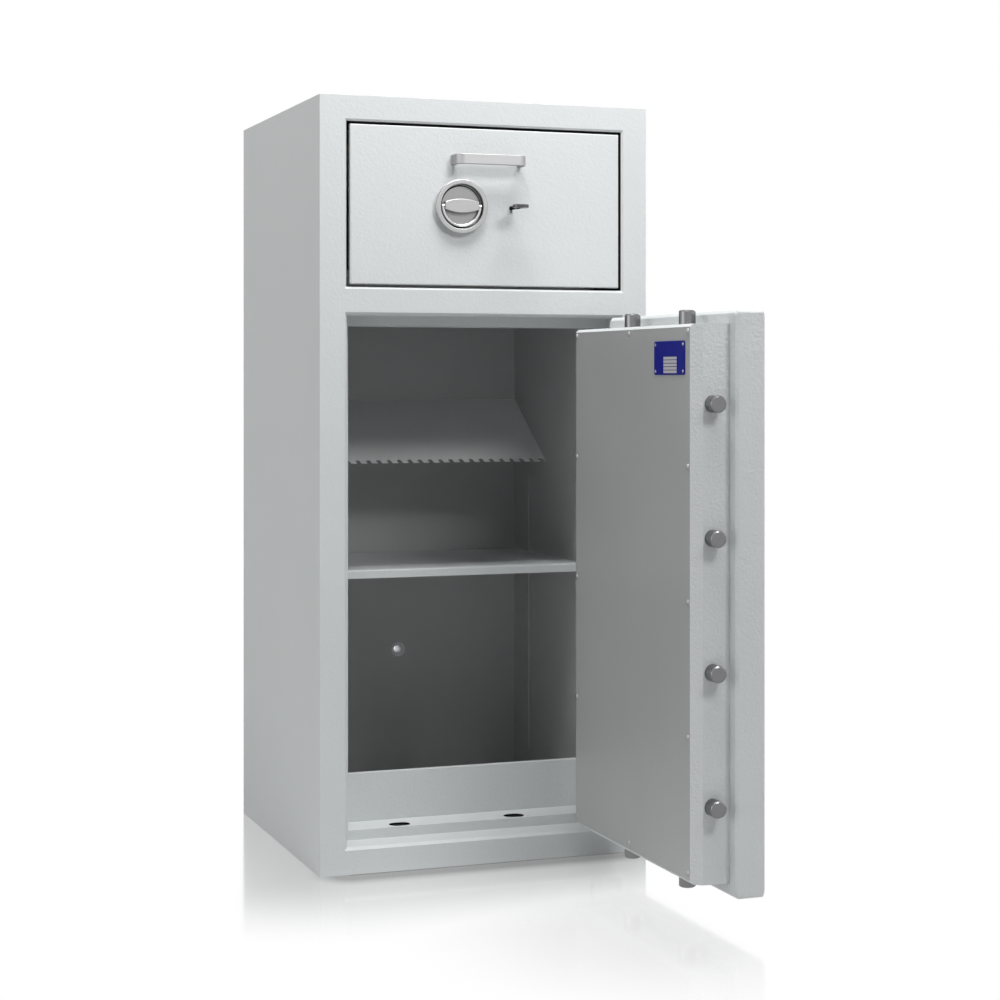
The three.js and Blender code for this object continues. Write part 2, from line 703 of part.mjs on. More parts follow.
// Guard plate: a slope below the drawer whose hooked teeth stop anything being fished out.
function guardPlate() {
  const run = linerBack - guardFrontDepth;
  const drop = guardBackZ - guardFrontZ;
  const length = Math.hypot(run, drop);
  const slope = Math.atan2(drop, run);
  const half = linerHalf - SEAT;
  const teeth = Math.floor(2 * half / TOOTH_PITCH);
  const margin = half - teeth * TOOTH_PITCH / 2;
  const outline = [[-half, 0]];
  for (let i = 0; i < teeth; i += 1) {
    const start = -half + margin + i * TOOTH_PITCH;
    outline.push([start + ENTRY_SHARES[0] * TOOTH_PITCH, 0]);
    for (let k = 0; k <= NOTCH_STEPS; k += 1) {
      const angle = (NOTCH_START_SHARE - NOTCH_SWEEP_SHARE * k / NOTCH_STEPS) * 2 * QUARTER_TURN;
      outline.push([
        start + (NOTCH_CENTRE_SHARES[0] + NOTCH_RADIUS_SHARE * Math.cos(angle)) * TOOTH_PITCH,
        (NOTCH_CENTRE_SHARES[1] + NOTCH_RADIUS_SHARE * Math.sin(angle)) * TOOTH_PITCH,
      ]);
    }
    outline.push([start + ENTRY_SHARES[1] * TOOTH_PITCH, 0]);
  }
  outline.push([half, 0], [half, length], [-half, length]);
  const geometry = new THREE.ExtrudeGeometry(
    new THREE.Shape(outline.map(([a, b]) => new THREE.Vector2(a, b))),
    { depth: GUARD_SHEET, bevelEnabled: false },
  );
  geometry.rotateX(slope);
  geometry.translate(0, guardFrontDepth - SEAT, guardFrontZ);
  const flangeDepth = [linerBack - SEAT - GUARD_SHEET, linerBack - SEAT];
  const flangeHeight = [guardBackZ - GUARD_FLANGE, guardBackZ + GUARD_SHEET];
  const flange = block([-half, half], flangeDepth, flangeHeight);
  const behind = block([-half - OVERRUN, half + OVERRUN], [linerBack - SEAT, DEPTH], [0, HEIGHT]);
  return cut(join(toSolid(geometry), flange), behind);
}

// Anchor sleeve: a turned steel lining of the bolt hole in the back, recessed inside.
function anchorSleeve() {
  return turned('y', [
    [ANCHOR_BORE, linerBack + ANCHOR_RECESS],
    [ANCHOR_RADIUS - ANCHOR_WALL, linerBack + ANCHOR_RECESS],
    [ANCHOR_RADIUS - ANCHOR_WALL, linerBack],
    [ANCHOR_RADIUS, linerBack],
    [ANCHOR_RADIUS, DEPTH],
    [ANCHOR_BORE, DEPTH],
    [ANCHOR_BORE, linerBack + ANCHOR_RECESS],
  ], [0, ANCHOR_Z], SMALL_ROUND_STEPS);
}

add(cabinet, 'outer_casing', outerCasing(), materials.coat);
add(cabinet, 'wall_filling', wallFilling(), materials.filling);
add(cabinet, 'front_frame', frontFrame(), materials.coat);
add(cabinet, 'inner_liner', innerLiner(), materials.interior);
add(cabinet, 'floor_apron', floorApron(), materials.coat);
add(cabinet, 'shelf', shelf(), materials.interior);
for (const [side, sideName] of [[-1, 'left'], [1, 'right']]) {
  const front = shelfUpright(side, shelfFront + UPRIGHT_SETBACK);
  const rear = shelfUpright(side, shelfBack - UPRIGHT_REAR_SETBACK - UPRIGHT_WIDTH);
  add(cabinet, `upright_front_${sideName}`, front, materials.interior);
  add(cabinet, `upright_rear_${sideName}`, rear, materials.interior);
}
add(cabinet, 'guard_plate', guardPlate(), materials.interior);
add(cabinet, 'anchor_sleeve', anchorSleeve(), materials.zinc);

// Hinges. The lower knuckle is on the cabinet's bracket and the upper one on the door's strap.
function knuckleBore(level) {
  const span = [level - OVERRUN, level + 2 * KNUCKLE_LENGTH + OVERRUN];
  return rod('z', PIN_RADIUS + SEAT, span, [hingeX, -HINGE_FORWARD], SMALL_ROUND_STEPS);
}

function hingeBracket(level) {
  const top = level + KNUCKLE_LENGTH;
  const leafX = [hingeX - 2 * KNUCKLE_RADIUS, outerHalf - LEAF_CORNER / 2];
  const leaf = block(leafX, [-LEAF_THICK, 0], [level, top]);
  const armX = [hingeX - KNUCKLE_RADIUS, hingeX + KNUCKLE_RADIUS];
  const arm = block(armX, [-HINGE_FORWARD, -LEAF_THICK / 2], [level, top]);
  const knuckle = rod('z', KNUCKLE_RADIUS, [level, top], [hingeX, -HINGE_FORWARD]);
  return cut(join(leaf, arm, knuckle), knuckleBore(level));
}

function hingeStrap(level) {
  const base = level + KNUCKLE_LENGTH + KNUCKLE_GAP;
  const top = base + KNUCKLE_LENGTH;
  const [near, far] = [-HINGE_FORWARD - KNUCKLE_RADIUS, -HINGE_FORWARD + KNUCKLE_RADIUS];
  const outline = [
    [doorRight - LEAF_REACH, 0], [doorRight - LEAF_REACH, -LEAF_THICK + LEAF_CORNER / 2],
    [doorRight - LEAF_REACH + LEAF_CORNER / 2, -LEAF_THICK],
    [doorRight - 3 * LEAF_CORNER, -LEAF_THICK], [doorRight - LEAF_CORNER, near + LEAF_CORNER],
    [doorRight + LEAF_CORNER, near], [hingeX, near], [hingeX, far],
    [doorRight + LEAF_CORNER, far], [doorRight - LEAF_CORNER, far + LEAF_CORNER],
    [doorRight - LEAF_CORNER, 0],
  ];
  const knuckle = rod('z', KNUCKLE_RADIUS, [base, top], [hingeX, -HINGE_FORWARD]);
  return cut(join(extrude('xy', outline, [base, top]), knuckle), knuckleBore(level));
}

function hingePin(level) {
  const top = level + 2 * KNUCKLE_LENGTH + KNUCKLE_GAP;
  return turned('z', [
    [0, level], [PIN_RADIUS, level], [PIN_RADIUS, top + SEAT],
    [KNUCKLE_RADIUS, top + SEAT], [KNUCKLE_RADIUS, top + SEAT + PIN_HEAD / 2],
    [KNUCKLE_RADIUS - PIN_HEAD / 2, top + SEAT + PIN_HEAD], [0, top + SEAT + PIN_HEAD],
  ], [hingeX, -HINGE_FORWARD], SMALL_ROUND_STEPS);
}

hingeLevels.forEach((level, i) => {
  const place = ['lower', 'upper'][i];
  add(cabinet, `hinge_bracket_${place}`, hingeBracket(level), materials.coat);
  add(cabinet, `hinge_pin_${place}`, hingePin(level), materials.steel);
  add(door, `hinge_strap_${place}`, hingeStrap(level), materials.coat);
});

// Door skin: a folded pan with chamfered edges, with a window at the back where the core goes in.
function doorSkin() {
  const ring = (depth, inset) => roundedRing(
    [doorLeft + inset, doorRight - inset],
    [doorLow + inset, doorHigh - inset],
    depth,
    DOOR_CORNER,
  );
  const slab = loft([
    ring(0, DOOR_OUTER_CHAMFER),
    ring(DOOR_OUTER_CHAMFER, 0),
    ring(DOOR_THICK - DOOR_INNER_CHAMFER, 0),
    ring(DOOR_THICK, DOOR_INNER_CHAMFER),
  ]);
  const rim = DOOR_INNER_CHAMFER + DOOR_SHEET;
  const room = block(
    [doorLeft + rim, doorRight - rim],
    [DOOR_SHEET, DOOR_THICK - DOOR_SHEET],
    [doorLow + rim, doorHigh - rim],
  );
  const port = block(
    [caseLeft + 2 * CASE_WALL, doorRight - 2 * rim],
    [DOOR_SHEET, DOOR_THICK + OVERRUN],
    [caseLow + 2 * CASE_WALL, caseHigh - 2 * CASE_WALL],
  );
  const span = [-OVERRUN, DOOR_SHEET + OVERRUN];
  return cut(slab, room, port, spindleHole(span), doorKeyhole(span));
}

function spindleHole(span, x = handleX, z = handleZ) {
  return rod('y', SPINDLE_RADIUS + SEAT, span, [x, z], SMALL_ROUND_STEPS);
}

function doorKeyhole(span) {
  const round = rod('y', KEY_SHANK + KEY_PLAY, span, [lockX, lockZ], SMALL_ROUND_STEPS);
  const slotX = [lockX - KEYHOLE_SLOT / 2, lockX + KEYHOLE_SLOT / 2];
  return join(round, block(slotX, span, [lockZ - KEYHOLE_DROP, lockZ]));
}

function doorFilling() {
  const rim = DOOR_INNER_CHAMFER + DOOR_SHEET + SEAT;
  const core = block(
    [doorLeft + rim, doorRight - rim],
    [DOOR_SHEET + SEAT, DOOR_THICK - DOOR_SHEET - SEAT],
    [doorLow + rim, doorHigh - rim],
  );
  const span = [0, DOOR_THICK];
  return cut(core, spindleHole(span), doorKeyhole(span));
}

// One ring of the boltwork case, drawn in from the bolt edge and from the top and bottom.
function caseRing(depth, bevel, end, far = 0) {
  return roundedRing([caseLeft + bevel, doorRight - far], [caseLow + end, caseHigh - end], depth, 0);
}

// Boltwork case: base, walls and bevels in one folding, with a rebate for the flat cover.
// The bolt edge has a wide bevel. A hole in the wall guides each bolt.
function boltworkCase() {
  const crown = COVER_DEPTH - COVER_EDGE;
  const crownBevel = COVER_BEVEL * (crown - CASE_WALL_TOP) / (COVER_DEPTH - CASE_WALL_TOP);
  const outer = loft([
    caseRing(DOOR_THICK, 0, 0),
    caseRing(CASE_WALL_TOP, 0, 0),
    caseRing(crown, crownBevel, 0),
    caseRing(COVER_DEPTH, COVER_BEVEL, COVER_EDGE),
  ]);
  const room = loft([
    caseRing(DOOR_THICK + CASE_WALL, CASE_WALL, CASE_WALL, CASE_WALL),
    caseRing(CASE_WALL_TOP, CASE_WALL, CASE_WALL, CASE_WALL),
    caseRing(crown, crownBevel + CASE_WALL, CASE_WALL, CASE_WALL),
  ]);
  const seat = block(
    [caseLeft + COVER_BEVEL + SEAT, doorRight + OVERRUN],
    [COVER_DEPTH - COVER_SHEET, COVER_DEPTH + OVERRUN],
    [caseLow + COVER_EDGE + SEAT, caseHigh - COVER_EDGE - SEAT],
  );
  const flange = CASE_FLANGE + COVER_EDGE;
  const port = block(
    [caseLeft + COVER_BEVEL + CASE_FLANGE, doorRight - flange],
    [CASE_WALL_TOP, COVER_DEPTH],
    [caseLow + flange, caseHigh - flange],
  );
  const guide = BOLT_RADIUS + BOLT_CLEARANCE;
  const sideSpan = [caseLeft - OVERRUN, caseLeft + CASE_WALL + OVERRUN];
  const sideHoles = sideBoltLevels().map((z) => rod('x', guide, sideSpan, [BOLT_DEPTH, z]));
  const endHoles = endBoltPlaces.flatMap((x) => [
    rod('z', guide, [caseHigh - CASE_WALL - OVERRUN, caseHigh + OVERRUN], [x, BOLT_DEPTH]),
    rod('z', guide, [caseLow - OVERRUN, caseLow + CASE_WALL + OVERRUN], [x, BOLT_DEPTH]),
  ]);
  const span = [DOOR_THICK - OVERRUN, DOOR_THICK + CASE_WALL + OVERRUN];
  return cut(outer, room, seat, port, ...sideHoles, ...endHoles, spindleHole(span), doorKeyhole(span));
}

// Boltwork cover: a flat plate that lies in the rebate, level with the bevels round it.
function boltworkCover() {
  return block(
    [caseLeft + COVER_BEVEL + 2 * SEAT, doorRight],
    [COVER_DEPTH - COVER_SHEET, COVER_DEPTH],
    [caseLow + COVER_EDGE + 2 * SEAT, caseHigh - COVER_EDGE - 2 * SEAT],
  );
}

function labelPlate() {
  const x0 = caseLeft + COVER_BEVEL + LABEL_INSET_X;
  const z1 = caseHigh - LABEL_INSET_Z - COVER_EDGE;
  const [width, height] = [[x0, x0 + LABEL_WIDTH], [z1 - LABEL_HEIGHT, z1]];
  const ring = (depth) => roundedRing(width, height, depth, DOOR_OUTER_CHAMFER);
  return loft([ring(COVER_DEPTH), ring(COVER_DEPTH + LABEL_THICK)]);
}

// Escutcheon: a turned disc round the keyhole.
function escutcheon() {
  const disc = turned('y', [
    [0, 0], [ESCUTCHEON_RADIUS, 0], [ESCUTCHEON_RADIUS, -ESCUTCHEON_THICK / 2],
    [ESCUTCHEON_RADIUS - ESCUTCHEON_THICK / 2, -ESCUTCHEON_THICK], [0, -ESCUTCHEON_THICK],
  ], [lockX, lockZ], ROUND_STEPS);
  return cut(disc, doorKeyhole([-2 * OVERRUN, OVERRUN]));
}

add(door, 'door_skin', doorSkin(), materials.coat);
add(door, 'door_filling', doorFilling(), materials.filling);
add(door, 'boltwork_case', boltworkCase(), materials.coat);
add(door, 'boltwork_cover', boltworkCover(), materials.cover);
add(door, 'label_plate', labelPlate(), materials.label);
add(door, 'key_escutcheon', escutcheon(), materials.handle);

// Round handle. The rosette is a ring, the grip turns in it, and the bail folds out of the grip.
function rosette(x, z) {
  return turned('y', [
    [ROSETTE_BORE, 0], [ROSETTE_BORE, -ROSETTE_HEIGHT + ROSETTE_SOFT],
    [ROSETTE_BORE + ROSETTE_SOFT, -ROSETTE_HEIGHT], [ROSETTE_RADIUS - ROSETTE_SOFT, -ROSETTE_HEIGHT],
    [ROSETTE_RADIUS, -ROSETTE_HEIGHT + ROSETTE_SOFT], [ROSETTE_RADIUS, 0], [ROSETTE_BORE, 0],
  ], [x, z], ROUND_STEPS);
}

// Grip: a lens with cut ends on a disc that fills the ring, with the spindle that carries the pinion.
function turnGrip(x, z, spindleEnd) {
  const rise = (GRIP_HEIGHT - GRIP_END_HEIGHT) / 2;
  const arcRadius = (GRIP_HALF ** 2 + rise ** 2) / (2 * rise);
  const arc = (sign) => Array.from({ length: SMALL_ROUND_STEPS / 2 + 1 }, (_, i) => {
    const across = sign * GRIP_HALF * (1 - 4 * i / SMALL_ROUND_STEPS);
    const height = Math.sqrt(arcRadius ** 2 - across ** 2) - arcRadius + GRIP_HEIGHT / 2;
    return [x + across, z + GRIP_RAISE + sign * height];
  });
  const back = -SEAT - DISC_THICK / 2;
  const lens = extrude('xz', [...arc(1), ...arc(-1)], [-ROSETTE_HEIGHT, back]);
  const disc = rod('y', DISC_RADIUS, [-SEAT - DISC_THICK, -SEAT], [x, z]);
  const spindle = rod('y', SPINDLE_RADIUS, [back, spindleEnd], [x, z], SMALL_ROUND_STEPS);
  const sockets = [
    [-GRIP_HALF - OVERRUN, -GRIP_HALF + BAIL_PIN_LENGTH],
    [GRIP_HALF - BAIL_PIN_LENGTH, GRIP_HALF + OVERRUN],
  ].map(([a, b]) => bailRod(BAIL_PIN + KEY_PLAY, [x + a, x + b], z));
  return cut(join(lens, disc, spindle), ...sockets);
}

// A round length along the axis that the bail folds about.
function bailRod(radius, span, z) {
  return rod('x', radius, span, [-BAIL_PROUD, z + GRIP_RAISE], BAIL_SIDES);
}

// Bail: a half ring that hangs below the grip, with an eye and a pin at each end.
function bail(x, z) {
  class HalfRing extends THREE.Curve {
    getPoint(t, target = new THREE.Vector3()) {
      const angle = 2 * QUARTER_TURN * (1 + t);
      return target.set(BAIL_RADIUS * Math.cos(angle), 0, BAIL_RADIUS * Math.sin(angle));
    }
  }
  const section = new THREE.Shape(Array.from({ length: BAIL_SIDES }, (_, i) => {
    const angle = (i + 1 / 2) * 4 * QUARTER_TURN / BAIL_SIDES;
    return new THREE.Vector2(BAIL_BAR * Math.cos(angle), BAIL_BAR * Math.sin(angle));
  }));
  const geometry = new THREE.ExtrudeGeometry(section, { steps: BAIL_STEPS, extrudePath: new HalfRing() });
  geometry.translate(x, -BAIL_PROUD, z + GRIP_RAISE);
  const pinStart = GRIP_HALF - BAIL_PIN_LENGTH + SEAT;
  const pins = [[-BAIL_RADIUS, -pinStart], [pinStart, BAIL_RADIUS]]
    .map(([a, b]) => bailRod(BAIL_PIN, [x + a, x + b], z));
  const eyes = [-BAIL_RADIUS, BAIL_RADIUS]
    .map((offset) => bailRod(BAIL_BAR, [x + offset - BAIL_EYE, x + offset + BAIL_EYE], z));
  return join(toSolid(geometry), ...pins, ...eyes);
}

function pinion(teeth, x, z, span) {
  const disc = extrude('xz', pinionOutline(teeth, [x, z]), span);
  return cut(disc, spindleHole([span[0] - OVERRUN, span[1] + OVERRUN], x, z));
}

add(door, 'door_rosette', rosette(handleX, handleZ), materials.handle);
add(door, 'door_grip', turnGrip(handleX, handleZ, gearEnd + RACK_LAYER_GAP), materials.handle);
add(door, 'door_bail', bail(handleX, handleZ), materials.handle);
const drivePinion = pinion(PINION_TEETH, handleX, handleZ, [gearDepth, gearEnd]);
add(door, 'drive_pinion', drivePinion, materials.steel);

// Bolts: turned bars with a bevelled rim, thrown out of the case when the door is at rest.
function bolt(axis, tip, root, place) {
  const inward = Math.sign(root - tip);
  return turned(axis, [
    [0, tip], [BOLT_RADIUS - BOLT_RIM, tip], [BOLT_RADIUS, tip + inward * BOLT_RIM],
    [BOLT_RADIUS, root], [0, root],
  ], place, ROUND_STEPS - SMALL_ROUND_STEPS / 2);
}

const sideBar = caseLeft + BAR_WIDTH;
const upperBar = caseHigh - BAR_WIDTH - 2 * BAR_THICK;
const lowerBar = caseLow + BAR_WIDTH + 2 * BAR_THICK;
const firstLayer = [gearDepth + RACK_LAYER_GAP / 2, BOLT_DEPTH - RACK_LAYER_GAP / 2];
const secondLayer = [BOLT_DEPTH + RACK_LAYER_GAP / 2, gearEnd - RACK_LAYER_GAP / 2];
const travelGaps = Math.ceil(boltTravel / toothPitch) + ENGAGED_TEETH;

// Side carriage: an upright bar with four bolts and an arm whose rack runs over the pinion.
function sideCarriage() {
  const bar = block(
    [sideBar, sideBar + BAR_THICK],
    [BOLT_DEPTH - BAR_WIDTH / 2, CASE_WALL_TOP - SEAT],
    [sideBoltLow - BAR_WIDTH, sideBoltHigh + BAR_WIDTH],
  );
  const pitchLine = handleZ + pitchRadius;
  const teeth = rackOutline(-travelGaps, ENGAGED_TEETH, (s, h) => [handleX + s, pitchLine + h]);
  const rack = extrude('xz', teeth, firstLayer);
  const armStart = handleX - travelGaps * toothPitch;
  const armHeight = [pitchLine + GEAR_MODULE * DEDENDUM_SHARE, pitchLine + RACK_BACK];
  const arm = block([sideBar, armStart + toothPitch], firstLayer, armHeight);
  return join(bar, rack, arm);
}

// Upper and lower carriages: a cross bar with two bolts and an upright rack beside the pinion.
function endCarriage(upward) {
  const side = upward ? 1 : -1;
  const x = handleX + side * pitchRadius;
  const barZ = upward ? [upperBar, upperBar + BAR_THICK] : [lowerBar - BAR_THICK, lowerBar];
  const [x0, x1] = [endBoltPlaces[0] - BOLT_RADIUS, endBoltPlaces[1] + BOLT_RADIUS];
  const cross = block([x0, x1], [BOLT_DEPTH - BOLT_RADIUS, CASE_WALL_TOP - SEAT], barZ);
  const place = (s, h) => [x + side * h, handleZ + side * s];
  const rack = extrude('xz', rackOutline(-ENGAGED_TEETH, travelGaps, place), secondLayer);
  const stemStart = handleZ + side * (travelGaps - 1) * toothPitch;
  const stemEnd = upward ? barZ[0] + BAR_THICK / 2 : barZ[1] - BAR_THICK / 2;
  const stemX = [x + side * GEAR_MODULE * DEDENDUM_SHARE, x + side * RACK_BACK];
  const stem = block(
    [Math.min(...stemX), Math.max(...stemX)],
    secondLayer,
    [Math.min(stemStart, stemEnd), Math.max(stemStart, stemEnd)],
  );
  const carriage = join(cross, rack, stem);
  return upward ? cut(carriage, lockNotch()) : carriage;
}

// The lock bolt's notch is long enough to clear the upright in every position of the handle.
function lockNotch() {
  const edge = handleX + pitchRadius + RACK_BACK;
  const reach = LOCK_BOLT_HEIGHT / 2 + RACK_LAYER_GAP;
  return block(
    [edge - LOCK_THROW, edge + OVERRUN],
    [gearDepth, gearEnd],
    [lockZ - reach, lockZ + reach + boltTravel],
  );
}

add(door, 'side_carriage', sideCarriage(), materials.zinc);
sideBoltLevels().forEach((z, i) => {
  const solid = bolt('x', caseLeft - boltTravel, sideBar, [BOLT_DEPTH, z]);
  add(door, `side_bolt_${i + 1}`, solid, materials.steel);
});
add(door, 'upper_carriage', endCarriage(true), materials.zinc);
add(door, 'lower_carriage', endCarriage(false), materials.zinc);
endBoltPlaces.forEach((x, i) => {
  const upper = bolt('z', caseHigh + boltTravel, upperBar + BAR_THICK, [x, BOLT_DEPTH]);
  const lower = bolt('z', caseLow - boltTravel, lowerBar - BAR_THICK, [x, BOLT_DEPTH]);
  add(door, `upper_bolt_${i + 1}`, upper, materials.steel);
  add(door, `lower_bolt_${i + 1}`, lower, materials.steel);
});

// Key lock of the door: a case beside the upright, and a bolt that slides into its notch.
const lockEdge = handleX + pitchRadius + RACK_BACK + RACK_LAYER_GAP;
const lockBase = DOOR_THICK + CASE_WALL;

function lockBoltSpace(play) {
  const depth = (secondLayer[0] + secondLayer[1]) / 2;
  return {
    depth: [depth - LOCK_BOLT_THICK / 2 - play, depth + LOCK_BOLT_THICK / 2 + play],
    height: [lockZ - LOCK_BOLT_HEIGHT / 2 - play, lockZ + LOCK_BOLT_HEIGHT / 2 + play],
  };
}

function doorLockCase() {
  const height = [lockZ - LOCK_HEIGHT / 2, lockZ + LOCK_HEIGHT / 2];
  const outer = block([lockEdge, lockEdge + LOCK_WIDTH], [lockBase, CASE_WALL_TOP], height);
  const space = lockBoltSpace(SEAT);
  const channelX = [lockEdge - OVERRUN, lockEdge + LOCK_BOLT_LENGTH + OVERRUN];
  const channel = block(channelX, space.depth, space.height);
  return cut(outer, channel, doorKeyhole([lockBase - OVERRUN, lockBase + LOCK_SHELL]));
}

function doorLockBolt() {
  const space = lockBoltSpace(0);
  const boltX = [lockEdge - RACK_LAYER_GAP / 2, lockEdge + LOCK_BOLT_LENGTH];
  return block(boltX, space.depth, space.height);
}

add(door, 'door_lock_case', doorLockCase(), materials.zinc);
add(door, 'door_lock_bolt', doorLockBolt(), materials.brass);

// Drawer front with the bores of its handle and key.
const frontX = [-windowHalf + FRONT_GAP_X, windowHalf - FRONT_GAP_X];
const frontZ = [drawerWindowLow + FRONT_GAP_Z, drawerWindowHigh - FRONT_GAP_Z - SEAT];

function drawerFront() {
  const ring = (depth, inset) => roundedRing(
    [frontX[0] + inset, frontX[1] - inset],
    [frontZ[0] + inset, frontZ[1] - inset],
    depth,
    0,
  );
  const plate = loft([ring(0, FRONT_CHAMFER), ring(FRONT_CHAMFER, 0), ring(FRONT_THICK, 0)]);
  const span = [-OVERRUN, FRONT_THICK + OVERRUN];
  return cut(plate, spindleHole(span, DRAWER_HANDLE_X, drawerMiddle), keyhole(span));
}

function keyhole(span) {
  const round = rod('y', KEY_SHANK + KEY_PLAY, span, [KEY_X, drawerMiddle], SMALL_ROUND_STEPS);
  const slotX = [KEY_X - KEYHOLE_SLOT / 2, KEY_X + KEYHOLE_SLOT / 2];
  return join(round, block(slotX, span, [drawerMiddle - KEYHOLE_DROP, drawerMiddle]));
}

// Drawer tray: two sides, an inner front wall, a short fixed floor and a back as high as the bay.
function drawerTray() {
  const sides = [-1, 1].map((side) => {
    const faces = [side * trayHalf, side * (trayHalf - TRAY_SHEET)];
    const wall = [Math.min(...faces), Math.max(...faces)];
    return block(wall, [FRONT_THICK, trayBack], [trayLow, traySideTop]);
  });
  const width = [-trayHalf, trayHalf];
  const frontWall = TRAY_FRONT_WALL - TRAY_SHEET;
  const inner = block(width, [frontWall, TRAY_FRONT_WALL], [trayLow, traySideTop]);
  const back = block(width, [trayBack - TRAY_SHEET, trayBack], [trayLow, trayBackTop]);
  const floor = block(width, [frontWall, FIXED_FLOOR_END], [trayLow, trayLow + TRAY_SHEET]);
  const holeSpan = [-trayHalf - OVERRUN, trayHalf + OVERRUN];
  const pinHoles = rod('x', FLAP_PIN + SEAT, holeSpan, [flapAxis.depth, flapAxis.z], BAIL_SIDES);
  return cut(join(...sides, inner, back, floor), pinHoles);
}

const flapAxis = {
  depth: FIXED_FLOOR_END + FLAP_GAP + FLAP_KNUCKLE,
  z: trayLow + FLAP_KNUCKLE,
};

// Tipping floor: hinged along its front edge, it drops the deposit when the drawer is shut.
function tippingFloor() {
  const half = trayHalf - TRAY_SHEET - FLAP_GAP;
  const sheet = block(
    [-half, half],
    [flapAxis.depth, trayBack - TRAY_SHEET - FLAP_GAP],
    [trayLow, trayLow + TRAY_SHEET],
  );
  const knuckle = rod('x', FLAP_KNUCKLE, [-half, half], [flapAxis.depth, flapAxis.z], BAIL_SIDES);
  const pins = [-1, 1].map((side) => {
    const ends = [side * (half - FLAP_PIN_END), side * trayHalf];
    const span = [Math.min(...ends), Math.max(...ends)];
    return rod('x', FLAP_PIN, span, [flapAxis.depth, flapAxis.z], BAIL_SIDES);
  });
  return join(sheet, knuckle, ...pins);
}

// Telescopic runner: three nested channels on each side. The widths run from the tray to the liner.
function runnerChannel(side, web, ribs, height, span) {
  const low = runnerZ - height / 2;
  const high = runnerZ + height / 2;
  const xs = (range) => range.map((x) => side * x).sort((a, b) => a - b);
  return join(
    block(xs(web), span, [low, high]),
    block(xs(ribs), span, [low, low + RUNNER_SHEET]),
    block(xs(ribs), span, [high - RUNNER_SHEET, high]),
  );
}

const runnerOuterWeb = [linerHalf - SEAT - RUNNER_SHEET, linerHalf - SEAT];
const runnerMiddleFace = runnerOuterWeb[0] - RUNNER_GAP;
const runnerMiddleWeb = [runnerMiddleFace - RUNNER_SHEET, runnerMiddleFace];
const runnerInnerWeb = [trayHalf + SEAT, trayHalf + SEAT + RUNNER_SHEET];
const runnerEnd = linerBack - RUNNER_BACK_GAP;
const middleHeight = RUNNER_HEIGHT - 2 * (RUNNER_SHEET + RUNNER_GAP);
const innerHeight = middleHeight - 2 * (RUNNER_SHEET + RUNNER_GAP);

for (const [side, sideName] of [[-1, 'left'], [1, 'right']]) {
  const outerRibs = [runnerMiddleWeb[0] - RUNNER_RIB, runnerOuterWeb[1]];
  const middleRibs = [runnerMiddleWeb[0] - RUNNER_RIB, runnerMiddleWeb[1]];
  const innerRibs = [runnerInnerWeb[0], runnerInnerWeb[1] + RUNNER_RIB - RUNNER_GAP];
  const middleSpan = [RUNNER_START, runnerEnd - OVERRUN];
  const outer = runnerChannel(side, runnerOuterWeb, outerRibs, RUNNER_HEIGHT, [RUNNER_START, runnerEnd]);
  const middle = runnerChannel(side, runnerMiddleWeb, middleRibs, middleHeight, middleSpan);
  const inner = runnerChannel(side, runnerInnerWeb, innerRibs, innerHeight, [FRONT_THICK, trayBack]);
  add(cabinet, `cabinet_runner_${sideName}`, outer, materials.zinc);
  add(cabinet, `middle_runner_${sideName}`, middle, materials.zinc);
  add(cabinet, `drawer_runner_${sideName}`, inner, materials.zinc);
}

// Bow handle: a flat bar bent into a wide U, standing off the drawer front.
function bowHandle() {
  const [left, right] = [BOW_CENTRE_X - BOW_LENGTH / 2, BOW_CENTRE_X + BOW_LENGTH / 2];
  const corner = (cx, cy, radius, from, turn) => Array.from({ length: CORNER_STEPS + 2 }, (_, i) => {
    const angle = from + turn * i / (CORNER_STEPS + 1);
    return [cx + radius * Math.cos(angle), cy + radius * Math.sin(angle)];
  });
  const bendY = -BOW_REACH + BOW_BEND;
  const innerBend = BOW_BEND - BOW_BAR;
  const outline = [
    [left, 0],
    ...corner(left + BOW_BEND, bendY, BOW_BEND, 2 * QUARTER_TURN, QUARTER_TURN),
    ...corner(right - BOW_BEND, bendY, BOW_BEND, 3 * QUARTER_TURN, QUARTER_TURN),
    [right, 0],
    [right - BOW_BAR, 0],
    ...corner(right - BOW_BEND, bendY, innerBend, 4 * QUARTER_TURN, -QUARTER_TURN),
    ...corner(left + BOW_BEND, bendY, innerBend, 3 * QUARTER_TURN, -QUARTER_TURN),
    [left + BOW_BAR, 0],
  ];
  return extrude('xy', outline, [bowZ - BOW_HEIGHT / 2, bowZ + BOW_HEIGHT / 2]);
}

